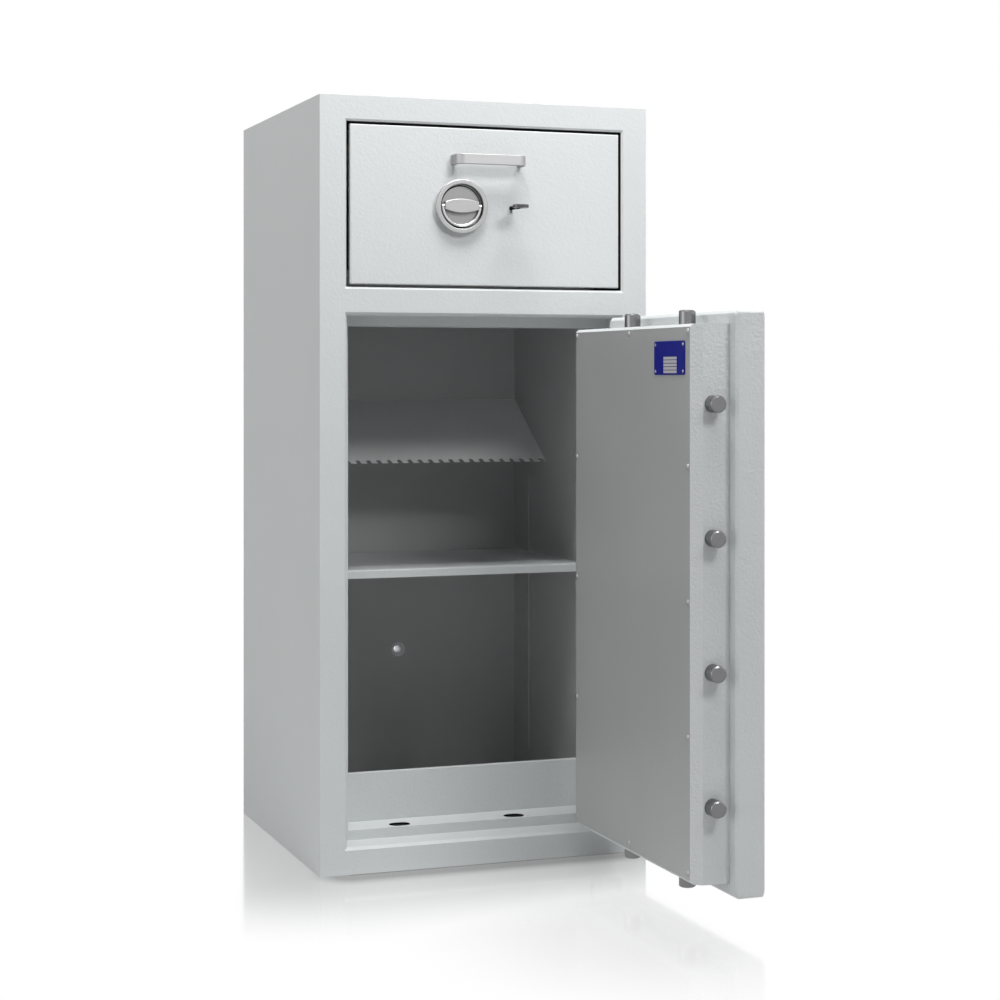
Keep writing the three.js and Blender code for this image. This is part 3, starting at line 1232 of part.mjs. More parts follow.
// Latches: a head that enters the frame, on a rack driven by the handle's pinion.
function latch(upward) {
  const side = upward ? -1 : 1;
  const up = upward ? 1 : -1;
  const pitchX = DRAWER_HANDLE_X + side * drawerPitchRadius;
  const depth = latchDepth;
  const gaps = Math.ceil(latchTravel / toothPitch) + ENGAGED_TEETH;
  const place = (s, h) => [pitchX + side * h, drawerMiddle - up * s];
  const rack = extrude('xz', rackOutline(-ENGAGED_TEETH, gaps, place), depth);
  const backX = [pitchX + side * GEAR_MODULE * DEDENDUM_SHARE, pitchX + side * RACK_BACK];
  const stemX = [Math.min(...backX), Math.max(...backX)];
  const tip = upward ? frontZ[1] - KEY_PLAY : frontZ[0] + KEY_PLAY;
  const neck = tip - up * LATCH_HEAD;
  const start = drawerMiddle + up * toothPitch;
  const stem = block(stemX, depth, [Math.min(start, neck), Math.max(start, neck)]);
  const centre = DRAWER_HANDLE_X + side * latchOffset;
  const head = extrude('yz', [
    [depth[0], neck - up * LATCH_THICK / 2], [depth[1], neck - up * LATCH_THICK / 2],
    [depth[1], tip], [depth[0] + LATCH_THICK / 4, tip], [depth[0], tip - up * LATCH_THICK / 4],
  ], [centre - LATCH_WIDTH / 2, centre + LATCH_WIDTH / 2]);
  const body = join(rack, stem, head);
  return upward ? body : cut(body, drawerLockNotch());
}

const drawerNotchEdge = DRAWER_HANDLE_X + drawerPitchRadius + RACK_BACK;
const drawerLockZ = drawerMiddle - KEY_BIT_REACH - RACK_LAYER_GAP / 2 - LOCK_BOLT_HEIGHT / 2;

function drawerLockNotch() {
  const reach = LOCK_BOLT_HEIGHT / 2 + RACK_LAYER_GAP;
  return block(
    [drawerNotchEdge - LOCK_THROW, drawerNotchEdge + OVERRUN],
    [LATCH_DEPTH - LATCH_THICK, LATCH_DEPTH + LATCH_THICK],
    [drawerLockZ - reach, drawerLockZ + reach + latchTravel],
  );
}

// Lock case of the drawer: a box behind the front that houses the pinion, the racks and the lock.
function drawerLockCase() {
  const low = drawerMiddle - DRAWER_CASE_HALF;
  const high = drawerMiddle + DRAWER_CASE_HALF;
  const outer = block([DRAWER_CASE_LEFT, DRAWER_CASE_RIGHT], [FRONT_THICK, DRAWER_CASE_DEPTH], [low, high]);
  const room = block(
    [DRAWER_CASE_LEFT + LOCK_SHELL, DRAWER_CASE_RIGHT - LOCK_SHELL],
    [FRONT_THICK + LOCK_SHELL, DRAWER_CASE_DEPTH + OVERRUN],
    [low + LOCK_SHELL, high - LOCK_SHELL],
  );
  const slots = [true, false].map((upward) => {
    const side = upward ? -1 : 1;
    const x = DRAWER_HANDLE_X + side * (drawerPitchRadius + RACK_BACK / 2);
    const half = RACK_BACK / 2 + SEAT;
    const depth = [latchDepth[0] - SEAT, latchDepth[1] + SEAT];
    const wall = upward ? high : low;
    return block([x - half, x + half], depth, [wall - OVERRUN, wall + OVERRUN]);
  });
  const span = [FRONT_THICK - OVERRUN, FRONT_THICK + LOCK_SHELL + OVERRUN];
  return cut(outer, room, ...slots, spindleHole(span, DRAWER_HANDLE_X, drawerMiddle), keyhole(span));
}

function drawerLockBolt() {
  return block(
    [drawerNotchEdge + RACK_LAYER_GAP / 2, KEY_X + KEY_BIT_REACH],
    [FRONT_THICK + LOCK_SHELL + SEAT, LATCH_DEPTH + LOCK_BOLT_THICK / 2],
    [drawerLockZ - LOCK_BOLT_HEIGHT / 2, drawerLockZ + LOCK_BOLT_HEIGHT / 2],
  );
}

// Key: a turned shank with a bit inside the lock and a flat bow that lies level.
function key() {
  const tail = FRONT_THICK + KEY_TAIL;
  const bowDepth = -KEY_REACH + KEY_BOW_RADIUS;
  const holeDepth = -KEY_REACH + KEY_HOLE_SHARE * KEY_BOW_RADIUS;
  const level = (thick) => [drawerMiddle - thick / 2, drawerMiddle + thick / 2];
  const shank = rod('y', KEY_SHANK, [bowDepth, tail], [KEY_X, drawerMiddle], SMALL_ROUND_STEPS);
  const bow = rod('z', KEY_BOW_RADIUS, level(KEY_BOW_THICK), [KEY_X, bowDepth], SMALL_ROUND_STEPS);
  const ring = rod('z', KEY_BOW_HOLE, level(2 * KEY_BOW_THICK), [KEY_X, holeDepth], SMALL_ROUND_STEPS);
  const bitEnd = tail - KEY_SHANK;
  const bit = block([KEY_X, KEY_X + KEY_BIT_REACH], [bitEnd - KEY_BIT_LENGTH, bitEnd], level(KEY_BIT_THICK));
  return cut(join(shank, bow, bit), ring);
}

add(cabinet, 'drawer_front', drawerFront(), materials.coat);
add(cabinet, 'drawer_tray', drawerTray(), materials.zinc);
add(cabinet, 'tipping_floor', tippingFloor(), materials.zinc);
add(cabinet, 'bow_handle', bowHandle(), materials.handle);
add(cabinet, 'drawer_rosette', rosette(DRAWER_HANDLE_X, drawerMiddle), materials.handle);
const drawerGrip = turnGrip(DRAWER_HANDLE_X, drawerMiddle, latchDepth[1] + RACK_LAYER_GAP);
add(cabinet, 'drawer_grip', drawerGrip, materials.handle);
add(cabinet, 'drawer_bail', bail(DRAWER_HANDLE_X, drawerMiddle), materials.handle);
const drawerPinion = pinion(DRAWER_PINION_TEETH, DRAWER_HANDLE_X, drawerMiddle, latchDepth);
add(cabinet, 'drawer_pinion', drawerPinion, materials.steel);
add(cabinet, 'upper_latch', latch(true), materials.zinc);
add(cabinet, 'lower_latch', latch(false), materials.zinc);
add(cabinet, 'drawer_lock_case', drawerLockCase(), materials.zinc);
add(cabinet, 'drawer_lock_bolt', drawerLockBolt(), materials.brass);
add(cabinet, 'drawer_key', key(), materials.steel);

export default part;
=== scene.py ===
# %% [markdown]
# # A deposit safe with a drawer
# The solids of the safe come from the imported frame. This script gives them their finishes, rounds
# their edges, and remakes the turned and bent pieces finely. Everything is in metres: +X is
# right, +Y is back and +Z is up. The door stands open at rest, so its pieces are drawn shut and
# swung open.

import json
import math

import bmesh
import bpy
from mathutils import Matrix, Vector


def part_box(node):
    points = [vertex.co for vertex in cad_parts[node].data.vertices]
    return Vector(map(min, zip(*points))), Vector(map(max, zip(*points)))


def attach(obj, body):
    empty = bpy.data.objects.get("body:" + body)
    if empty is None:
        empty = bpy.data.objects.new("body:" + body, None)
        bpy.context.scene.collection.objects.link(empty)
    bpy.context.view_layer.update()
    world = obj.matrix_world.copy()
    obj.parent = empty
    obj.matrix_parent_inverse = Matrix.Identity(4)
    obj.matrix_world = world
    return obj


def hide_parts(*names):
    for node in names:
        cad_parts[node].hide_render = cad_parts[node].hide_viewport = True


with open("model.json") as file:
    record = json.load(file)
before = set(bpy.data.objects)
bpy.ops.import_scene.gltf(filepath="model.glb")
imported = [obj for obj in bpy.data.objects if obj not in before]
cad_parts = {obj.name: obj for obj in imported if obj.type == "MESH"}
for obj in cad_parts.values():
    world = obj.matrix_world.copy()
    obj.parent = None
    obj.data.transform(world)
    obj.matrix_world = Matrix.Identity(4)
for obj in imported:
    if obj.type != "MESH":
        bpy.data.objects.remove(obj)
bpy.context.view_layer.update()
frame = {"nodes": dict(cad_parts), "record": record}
nodes = frame["nodes"]
record = frame["record"]
MM = 0.001

# %% [markdown]
# ## Where things belong
# Each piece moves with a body and takes its finish from a slot. Both are looked up in the record,
# so that a name is written only once.

# %% Look-ups
bodies = record["behaviour"]["bodies"]
body_of = {node: body for body, members in bodies.items() for node in members}
slot_of = {entry["node"]: entry["material_slot"] for entry in record["subparts"]}
hinge = next(joint for joint in record["behaviour"]["joints"] if joint["name"] == "door_hinge")
hinge_axis = Vector(hinge["pos_m"])
open_door = (
    Matrix.Translation(hinge_axis)
    @ Matrix.Rotation(math.radians(90), 4, "Z")
    @ Matrix.Translation(-hinge_axis)
)
shut_door = open_door.inverted()


def centre_of(node):
    low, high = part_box(node)
    return (low + high) / 2


def shut_box(node):
    """Corners of a door node when the door is shut."""
    corners = [shut_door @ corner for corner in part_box(node)]
    low = Vector([min(c[i] for c in corners) for i in range(3)])
    high = Vector([max(c[i] for c in corners) for i in range(3)])
    return low, high


def shut_centre_of(node):
    low, high = shut_box(node)
    return (low + high) / 2


front_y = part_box("front_frame")[0].y
print("front face at", round(front_y, 4), "hinge at", [round(v, 4) for v in hinge_axis])

# %% [markdown]
# ## Camera
# A long lens stands to the left of the safe at about two thirds of its height and looks level.
# It could be tilted down to centre the safe, but then the uprights of the cabinet would lean
# together. Instead the frame is shifted down, which keeps them vertical.

# %% Camera
CAMERA_PLACE = (-1.305, -3.941, 0.891)
CAMERA_YAW = 20.05
SENSOR = 36.0
FOCAL_LENGTH = 75.82
HORIZON_SHIFT = -0.1214

scene = bpy.context.scene
scene.view_settings.view_transform = "Standard"
camera_data = bpy.data.cameras.new("camera")
camera_data.sensor_width = SENSOR
camera_data.lens = FOCAL_LENGTH
camera_data.shift_y = HORIZON_SHIFT
camera = bpy.data.objects.new("camera", camera_data)
camera.location = CAMERA_PLACE
camera.rotation_euler = (math.radians(90), 0, math.radians(-CAMERA_YAW))
scene.collection.objects.link(camera)
scene.camera = camera
print("camera at", CAMERA_PLACE, "turned", CAMERA_YAW, "degrees")

# %% [markdown]
# ## Node trees
# A material is a small program. It could be wired node by node, but most of the lines would
# repeat. These helpers add a node and set its sockets by name, and make the shader groups that
# several finishes share.

# %% Node helpers


def add_node(tree, kind, inputs=None, **settings):
    """A node with settings on itself and values or links on its sockets."""
    made = tree.nodes.new(kind)
    for name, value in settings.items():
        setattr(made, name, value)
    for name, value in (inputs or {}).items():
        socket = made.inputs[name]
        if isinstance(value, bpy.types.NodeSocket):
            tree.links.new(value, socket)
        else:
            socket.default_value = value
    return made


def shader_group(name, inputs, outputs):
    """An empty shader group with float inputs and outputs, and its two end nodes."""
    group = bpy.data.node_groups.new(name, "ShaderNodeTree")
    for label, default in inputs.items():
        socket = group.interface.new_socket(label, in_out="INPUT", socket_type="NodeSocketFloat")
        socket.default_value = default
    for label in outputs:
        group.interface.new_socket(label, in_out="OUTPUT", socket_type="NodeSocketFloat")
    return group, group.nodes.new("NodeGroupInput"), group.nodes.new("NodeGroupOutput")


def use_group(tree, group, **values):
    made = tree.nodes.new("ShaderNodeGroup")
    made.node_tree = group
    for name, value in values.items():
        made.inputs[name.replace("_", " ").capitalize()].default_value = value
    return made


print("helpers", [helper.__name__ for helper in (add_node, shader_group, use_group)])

# %% [markdown]
# ## Powder coat
# Textured powder coat is a skin of small soft bumps, like orange peel, with a finer grain on top.
# It could be a picture laid on each piece, but noise needs no layout and shows no seam. Two
# noises of different size make the height, and a third, very broad one shifts the tone a little.

# %% Coat grain group


def noise(tree, place, scale, detail):
    """Noise on Object coordinates, so that the pattern stays on the piece when it moves."""
    return add_node(
        tree,
        "ShaderNodeTexNoise",
        {"Vector": place.outputs["Object"], "Scale": scale, "Detail": detail},
    )


coat_grain, grain_in, grain_out = shader_group(
    "coat_grain",
    {"Peel scale": 220.0, "Grain scale": 520.0, "Grain share": 0.2, "Cloud scale": 3.0},
    ("Height", "Tone"),
)
where = add_node(coat_grain, "ShaderNodeTexCoord")
peel = noise(coat_grain, where, grain_in.outputs["Peel scale"], detail=2.0)
fine = noise(coat_grain, where, grain_in.outputs["Grain scale"], detail=1.0)
cloud = noise(coat_grain, where, grain_in.outputs["Cloud scale"], detail=3.0)
grain = add_node(
    coat_grain,
    "ShaderNodeMix",
    {
        "Factor": grain_in.outputs["Grain share"],
        "A": peel.outputs["Fac"],
        "B": fine.outputs["Fac"],
    },
)
coat_grain.links.new(grain.outputs["Result"], grain_out.inputs["Height"])
coat_grain.links.new(cloud.outputs["Fac"], grain_out.inputs["Tone"])
print("group", coat_grain.name)

# %% [markdown]
# ## Turned lines
# Turned and rolled metal has fine parallel lines from the tool, and smudges from handling. The
# lines are bands of a wave and the smudges a noise. They are a group, because every metal finish
# uses both and only the spacing of the lines differs.

# %% Turned lines group
LINE_SCALE = 900.0
SMUDGE_SCALE = 45.0

turned_lines, lines_in, lines_out = shader_group(
    "turned_lines",
    {"Line scale": LINE_SCALE, "Waver": 1.5},
    ("Height", "Tone"),
)
where = add_node(turned_lines, "ShaderNodeTexCoord")
lines = add_node(
    turned_lines,
    "ShaderNodeTexWave",
    {
        "Vector": where.outputs["Object"],
        "Scale": lines_in.outputs["Line scale"],
        "Distortion": lines_in.outputs["Waver"],
        "Detail": 1.0,
    },
    wave_type="BANDS",
    bands_direction="DIAGONAL",
)
smudge = noise(turned_lines, where, SMUDGE_SCALE, detail=3.0)
turned_lines.links.new(lines.outputs["Fac"], lines_out.inputs["Height"])
turned_lines.links.new(smudge.outputs["Fac"], lines_out.inputs["Tone"])
print("group", turned_lines.name)

# %% [markdown]
# ## Painted finishes
# The safe's sheets are coated in one pale grey. The door's coat is coarse, the front's finer and
# the casing's nearly smooth, and the inside and the door's cover have paints of their own. The
# guard plate's paint is far lighter than the inside's, a painted light for the light it catches,
# and the key's shank is painted black as painted shade. One colour each would look like plastic,
# so each paint has a dark and a light shade that the broad noise mixes, a roughness that follows
# the same noise, and bumps of a stated depth.

# %% Paint
ROUGHNESS_SPREAD = 0.05
COAT_DARK = (0.625, 0.65, 0.652)
COAT_LIGHT = (0.675, 0.698, 0.7)
COAT_ROUGHNESS = 0.5
COAT_BUMPS_MM = {"powder_coat": 0.55, "door_coat": 1.4, "smooth_coat": 0.1}


def painted(name, dark, light, roughness, bump_mm, shine=0.5, **group_values):
    """Powder coat or smooth paint. dark and light are the shades that the clouds mix."""
    material = bpy.data.materials.new(name)
    material.use_nodes = True
    tree = material.node_tree
    surface = tree.nodes["Principled BSDF"]
    surface.inputs["Specular IOR Level"].default_value = shine
    texture = use_group(tree, coat_grain, **group_values)
    shade = add_node(
        tree,
        "ShaderNodeMix",
        {"Factor": texture.outputs["Tone"], "A": (*dark, 1.0), "B": (*light, 1.0)},
        data_type="RGBA",
    )
    rough = add_node(
        tree,
        "ShaderNodeMapRange",
        {
            "Value": texture.outputs["Tone"],
            "To Min": roughness - ROUGHNESS_SPREAD,
            "To Max": roughness + ROUGHNESS_SPREAD,
        },
    )
    bump = add_node(
        tree,
        "ShaderNodeBump",
        {"Height": texture.outputs["Height"], "Strength": 1.0, "Distance": bump_mm * MM},
    )
    tree.links.new(shade.outputs["Result"], surface.inputs["Base Color"])
    tree.links.new(rough.outputs["Result"], surface.inputs["Roughness"])
    tree.links.new(bump.outputs["Normal"], surface.inputs["Normal"])
    return material


powder_coat, door_coat, smooth_coat = [
    painted(name, COAT_DARK, COAT_LIGHT, COAT_ROUGHNESS, bump_mm)
    for name, bump_mm in COAT_BUMPS_MM.items()
]
interior_paint = painted(
    "interior_paint",
    dark=(0.47, 0.475, 0.475), light=(0.52, 0.525, 0.525), roughness=0.6, bump_mm=0.1,
)
# Painted light: the guard plate is far lighter than the inside, standing in for the light it
# catches.
guard_paint = painted(
    "guard_paint",
    dark=(0.9, 0.91, 0.91), light=(0.94, 0.95, 0.95), roughness=0.5, bump_mm=0.03,
)
cover_paint = painted(
    "cover_paint",
    dark=(0.4, 0.404, 0.406), light=(0.45, 0.454, 0.452), roughness=0.38, bump_mm=0.015,
    cloud_scale=5.0,
)
cast_core = painted(
    "cast_core",
    dark=(0.3, 0.29, 0.27), light=(0.42, 0.41, 0.38), roughness=0.9, bump_mm=0.8,
    peel_scale=60.0, cloud_scale=14.0,
)
label_blue = painted(
    "label_blue",
    dark=(0.001, 0.004, 0.2), light=(0.002, 0.006, 0.24), roughness=0.5, bump_mm=0.01,
    shine=0.2,
)
label_pale = painted(
    "label_pale",
    dark=(0.5, 0.5, 0.52), light=(0.58, 0.58, 0.6), roughness=0.4, bump_mm=0.01,
)
# Painted shade: the key's shank is coloured black where it lies in shadow at the keyhole.
key_black = painted(
    "key_black",
    dark=(0.003, 0.003, 0.003), light=(0.005, 0.005, 0.005), roughness=0.7, bump_mm=0.01,
    shine=0.1,
)
print("paints", powder_coat.name, interior_paint.name, cover_paint.name)

# %% [markdown]
# ## Metal finishes
# The bolts are turned steel, the handles satin silver, and the hidden parts zinc plate and brass.
# A plain metal would mirror like chrome. The fine lines are a shallow wave in the height instead,
# and the smudges vary the roughness and the tint, which breaks up the reflections.

# %% Metal
SMUDGE_SMOOTHER = 0.06
SMUDGE_ROUGHER = 0.08
TINT_LOW = 0.92
TINT_HIGH = 1.05


def metal(name, shade, roughness, bump_mm, line_scale=LINE_SCALE):
    material = bpy.data.materials.new(name)
    material.use_nodes = True
    tree = material.node_tree
    surface = tree.nodes["Principled BSDF"]
    texture = use_group(tree, turned_lines, line_scale=line_scale)
    rough = add_node(
        tree,
        "ShaderNodeMapRange",
        {
            "Value": texture.outputs["Tone"],
            "To Min": roughness - SMUDGE_SMOOTHER,
            "To Max": roughness + SMUDGE_ROUGHER,
        },
    )
    tint = add_node(
        tree,
        "ShaderNodeMapRange",
        {"Value": texture.outputs["Tone"], "To Min": TINT_LOW, "To Max": TINT_HIGH},
    )
    colour = add_node(
        tree,
        "ShaderNodeVectorMath",
        {0: shade, "Scale": tint.outputs["Result"]},
        operation="SCALE",
    )
    bump = add_node(
        tree,
        "ShaderNodeBump",
        {"Height": texture.outputs["Height"], "Strength": 1.0, "Distance": bump_mm * MM},
    )
    tree.links.new(colour.outputs["Vector"], surface.inputs["Base Color"])
    tree.links.new(rough.outputs["Result"], surface.inputs["Roughness"])
    tree.links.new(bump.outputs["Normal"], surface.inputs["Normal"])
    surface.inputs["Metallic"].default_value = 1.0
    return material


turned_steel = metal("turned_steel", shade=(0.21, 0.21, 0.213), roughness=0.24, bump_mm=0.006)
satin_silver = metal("satin_silver", shade=(0.4, 0.398, 0.402), roughness=0.5, bump_mm=0.003)
ring_silver = metal("ring_silver", shade=(0.4, 0.4, 0.402), roughness=0.34, bump_mm=0.002)
lens_silver = metal("lens_silver", shade=(0.38, 0.378, 0.38), roughness=0.42, bump_mm=0.002)
dish_silver = metal("dish_silver", shade=(0.28, 0.278, 0.28), roughness=0.42, bump_mm=0.002)
# Painted shade: a near-black finish for the thin ring that stands for the gap round the grip's
# disc.
groove_black = metal("groove_black", shade=(0.01, 0.01, 0.01), roughness=0.6, bump_mm=0.002)
bail_silver = metal("bail_silver", shade=(0.62, 0.618, 0.62), roughness=0.2, bump_mm=0.002)
key_nickel = metal("key_nickel", shade=(0.1, 0.1, 0.1), roughness=0.25, bump_mm=0.002)
zinc_plate = metal(
    "zinc_plate", shade=(0.6, 0.61, 0.63), roughness=0.42, bump_mm=0.004, line_scale=500.0,
)
lock_brass = metal("lock_brass", shade=(0.6, 0.47, 0.22), roughness=0.34, bump_mm=0.004)
finish_of_slot = {
    "coat": powder_coat,
    "interior": interior_paint,
    "cover": cover_paint,
    "filling": cast_core,
    "steel": turned_steel,
    "zinc": zinc_plate,
    "handle": satin_silver,
    "brass": lock_brass,
    "label": label_blue,
}
print("finishes", len(finish_of_slot))

# %% [markdown]
# ## Frame paint with painted shade
# The frame is coated outside. In the sleeve behind the drawer's edge and inside the keeper slots
# the coat is painted near-black, a painted shade for deep gaps that the light does not reach. That
# is why the gap round the drawer reads as a black line. A second material would need the frame's
# faces cut along the edge of the black. Masks from the depth, the height and the distance sideways
# mix the two colours instead.

# %% Frame material
# Painted shade: near-black colour for the sleeve and the slot pockets, which lie in shadow.
PAINTED_SHADE = (0.002, 0.002, 0.002, 1.0)
FRAME_SHINE = 0.3
SLEEVE_START = 3.6 * MM
SLEEVE_BELOW = 10 * MM
SLEEVE_BESIDE = 12 * MM
SLEEVE_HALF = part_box("drawer_front")[1].x + SLEEVE_BESIDE
SLOT_RIM = 0.8 * MM
SLOT_HALF = 16 * MM
drawer_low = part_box("drawer_front")[0].z
ledge_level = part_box("floor_apron")[0].z
bolt_row = shut_centre_of("lower_bolt_1").y


def math_out(tree, operation, *values):
    """Output of a math node that takes the values or links in order."""
    return add_node(tree, "ShaderNodeMath", dict(enumerate(values)), operation=operation).outputs[0]


frame_paint = powder_coat.copy()
frame_paint.name = "frame_paint"
tree = frame_paint.node_tree
surface = tree.nodes["Principled BSDF"]
surface.inputs["Specular IOR Level"].default_value = FRAME_SHINE
where = add_node(tree, "ShaderNodeTexCoord")
axes = add_node(tree, "ShaderNodeSeparateXYZ", {"Vector": where.outputs["Object"]})
across, depth, height = (axes.outputs[axis] for axis in "XYZ")
deep = math_out(tree, "GREATER_THAN", depth, front_y + SLEEVE_START)
high = math_out(tree, "GREATER_THAN", height, drawer_low - SLEEVE_BELOW)
within = math_out(tree, "COMPARE", across, 0.0, SLEEVE_HALF)
sleeve_shade = math_out(tree, "MULTIPLY", math_out(tree, "MULTIPLY", deep, high), within)
below = math_out(tree, "LESS_THAN", height, ledge_level - SLOT_RIM)
behind = math_out(tree, "COMPARE", depth, bolt_row, SLOT_HALF)
slot_shade = math_out(tree, "MULTIPLY", below, behind)
# Where either mask is 1, the coat is painted near-black as painted shade.
dark = math_out(tree, "MAXIMUM", sleeve_shade, slot_shade)
coat_shade = surface.inputs["Base Color"].links[0].from_socket
coat_rough = surface.inputs["Roughness"].links[0].from_socket
shade_painted = add_node(
    tree, "ShaderNodeMix", {"Factor": dark, "A": coat_shade, "B": PAINTED_SHADE}, data_type="RGBA",
)
tree.links.new(shade_painted.outputs["Result"], surface.inputs["Base Color"])
tree.links.new(math_out(tree, "MAXIMUM", coat_rough, dark), surface.inputs["Roughness"])
print("frame paint, dark behind", round(front_y + SLEEVE_START, 4))

# %% [markdown]
# ## Finishing a piece
# Every piece ends the same way: its modifiers become plain mesh, its curved faces are shaded
# smooth, and it takes its finish and rides on a body. Doing this by hand for each piece would be
# long and easy to get wrong, so small helpers do it.

# %% Piece helpers
SHARP_ANGLE = 32


def settle(piece, node, body=None):
    """Links a finished piece to the body of the node that it stands for or sits on."""
    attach(piece, body or body_of[node])
    return piece


def smooth_by_angle(mesh, degrees=SHARP_ANGLE):
    mesh.polygons.foreach_set("use_smooth", [True] * len(mesh.polygons))
    mesh.set_sharp_from_angle(angle=math.radians(degrees))


def plain_mesh(piece):
    """Applies the live modifiers of a piece to its own mesh."""
    bpy.context.view_layer.update()
    graph = bpy.context.evaluated_depsgraph_get()
    mesh = bpy.data.meshes.new_from_object(piece.evaluated_get(graph))
    piece.modifiers.clear()
    piece.data = mesh
    return piece


def new_piece(name, mesh, material):
    mesh.materials.clear()
    mesh.materials.append(material)
    piece = bpy.data.objects.new(name, mesh)
    scene.collection.objects.link(piece)
    return piece


print("helpers", [h.__name__ for h in (settle, smooth_by_angle, plain_mesh, new_piece)])

# %% [markdown]
# ## Dressing a solid
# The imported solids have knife-sharp edges, and nothing made of sheet does. A subdivision surface
# would round them but swell the flats. So a copy is merged, its flat faces are joined, and its
# edges get a small bevel that catches the light. The copy then stands for the node.

# %% Dress helper
WELD = 0.003 * MM
FLAT_ANGLE = 1
BEVEL_ANGLE = 34
EDGE_SEGMENTS = 2


def soften(piece, edge_mm, segments, degrees):
    """Breaks the sharp edges, and keeps the shading of the large faces flat."""
    bevel = piece.modifiers.new("edge", "BEVEL")
    bevel.width = edge_mm * MM
    bevel.segments = segments
    bevel.limit_method = "ANGLE"
    bevel.angle_limit = math.radians(degrees)
    level = piece.modifiers.new("flat", "WEIGHTED_NORMAL")
    level.keep_sharp = True
    return plain_mesh(piece)


def dress(node, material, edge_mm):
    bm = bmesh.new()
    bm.from_mesh(nodes[node].data)
    bmesh.ops.remove_doubles(bm, verts=bm.verts, dist=WELD)
    bmesh.ops.dissolve_limit(
        bm, angle_limit=math.radians(FLAT_ANGLE), verts=bm.verts, edges=bm.edges,
    )
    mesh = bpy.data.meshes.new(node + "_dressed")
    bm.to_mesh(mesh)
    bm.free()
    smooth_by_angle(mesh)
    piece = new_piece(node + "_dressed", mesh, material)
    soften(piece, edge_mm, EDGE_SEGMENTS, BEVEL_ANGLE)
    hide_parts(node)
    return settle(piece, node)


print("helpers", soften.__name__, dress.__name__)

# %% [markdown]
# ## Cabinet, door and drawer sheets
# Folded sheet has a bend radius of about its own thickness, and cut sheet only a broken edge. The
# pieces could be bevelled one by one, but a table of edges in millimetres is easier to compare
# and to change. The hidden pieces get only a token edge.

# %% Dress the sheets
HIDDEN_EDGE_MM = 0.2
edge_of = {
    "outer_casing": 1.2,
    "front_frame": 0.7,
    "inner_liner": 0.6,
    "floor_apron": 0.8,
    "shelf": 0.5,
    "guard_plate": 0.25,
    "door_skin": 1.2,
    "boltwork_case": 0.7,
    "boltwork_cover": 0.4,
    "label_plate": 0.3,
    "drawer_front": 1.5,
    "drawer_tray": 0.4,
    "hinge_bracket_lower": 1.0,
    "hinge_bracket_upper": 1.0,
    "hinge_strap_lower": 1.0,
    "hinge_strap_upper": 1.0,
}
special_finish = {
    "front_frame": frame_paint,
    "outer_casing": smooth_coat,
    "floor_apron": powder_coat,
    "door_skin": door_coat,
    "boltwork_case": door_coat,
    "shelf": powder_coat,
    "guard_plate": guard_paint,
}
remade = {
    "side_bolt_1", "side_bolt_2", "side_bolt_3", "side_bolt_4",
    "upper_bolt_1", "upper_bolt_2", "lower_bolt_1", "lower_bolt_2",
    "door_rosette", "drawer_rosette", "door_grip", "drawer_grip", "door_bail", "drawer_bail",
    "bow_handle", "drawer_key", "anchor_sleeve",
}
for node in sorted(nodes):
    if node not in remade:
        material = special_finish.get(node, finish_of_slot[slot_of[node]])
        dress(node, material, edge_of.get(node, HIDDEN_EDGE_MM))
print("dressed", len(nodes) - len(remade))

# %% [markdown]
# ## Turned pieces
# A bolt, a rosette and a sleeve come off a lathe. A ready-made cylinder would lack their bevels
# and undercuts, so each is a profile of radius and station that is spun round its axis, as on the
# lathe.

# %% Turned helper
TURN_STEPS = 72
SEAM_WELD = 0.004 * MM


def turned_mesh(name, profile, steps=TURN_STEPS):
    """Spins (radius, station) pairs round +Z.

    A profile that goes from axis to axis, or is a closed loop, makes a solid.
    """
    bm = bmesh.new()
    verts = [bm.verts.new((radius, 0.0, station)) for radius, station in profile]
    edges = [bm.edges.new(pair) for pair in zip(verts, verts[1:])]
    bmesh.ops.spin(
        bm,
        geom=verts + edges,
        cent=(0, 0, 0),
        axis=(0, 0, 1),
        angle=math.radians(360),
        steps=steps,
    )
    bmesh.ops.remove_doubles(bm, verts=bm.verts, dist=SEAM_WELD)
    bmesh.ops.recalc_face_normals(bm, faces=bm.faces)
    mesh = bpy.data.meshes.new(name)
    bm.to_mesh(mesh)
    bm.free()
    return mesh


def axis_frame(centre, direction):
    """Matrix that takes +Z to a direction and the origin to a centre."""
    turn = Vector((0, 0, 1)).rotation_difference(Vector(direction)).to_matrix().to_4x4()
    return Matrix.Translation(centre) @ turn


print("helpers", turned_mesh.__name__, axis_frame.__name__)

# %% [markdown]
# ## Bolts
# Each bolt is a bright bar with a bevelled rim round its tip. The tip points out of the case: to
# the side, up or down. A bevel modifier would round the rim evenly, while a lathe cuts it in
# slopes. The profile has these slopes, as shares of the rim's width.

# %% Bolts
RIM = 2.2 * MM
RIM_SHARES = ((0.25, 0.55), (1.0, 0.08), (1.12, 0.0))
BOLT_SMOOTH = 20


def bolt_mesh(name, radius, length):
    rim = [(radius - inward * RIM, length - back * RIM) for inward, back in RIM_SHARES]
    return turned_mesh(
        name, [(0.0, 0.0), (radius, 0.0), (radius, length - RIM), *rim, (0.0, length)],
    )


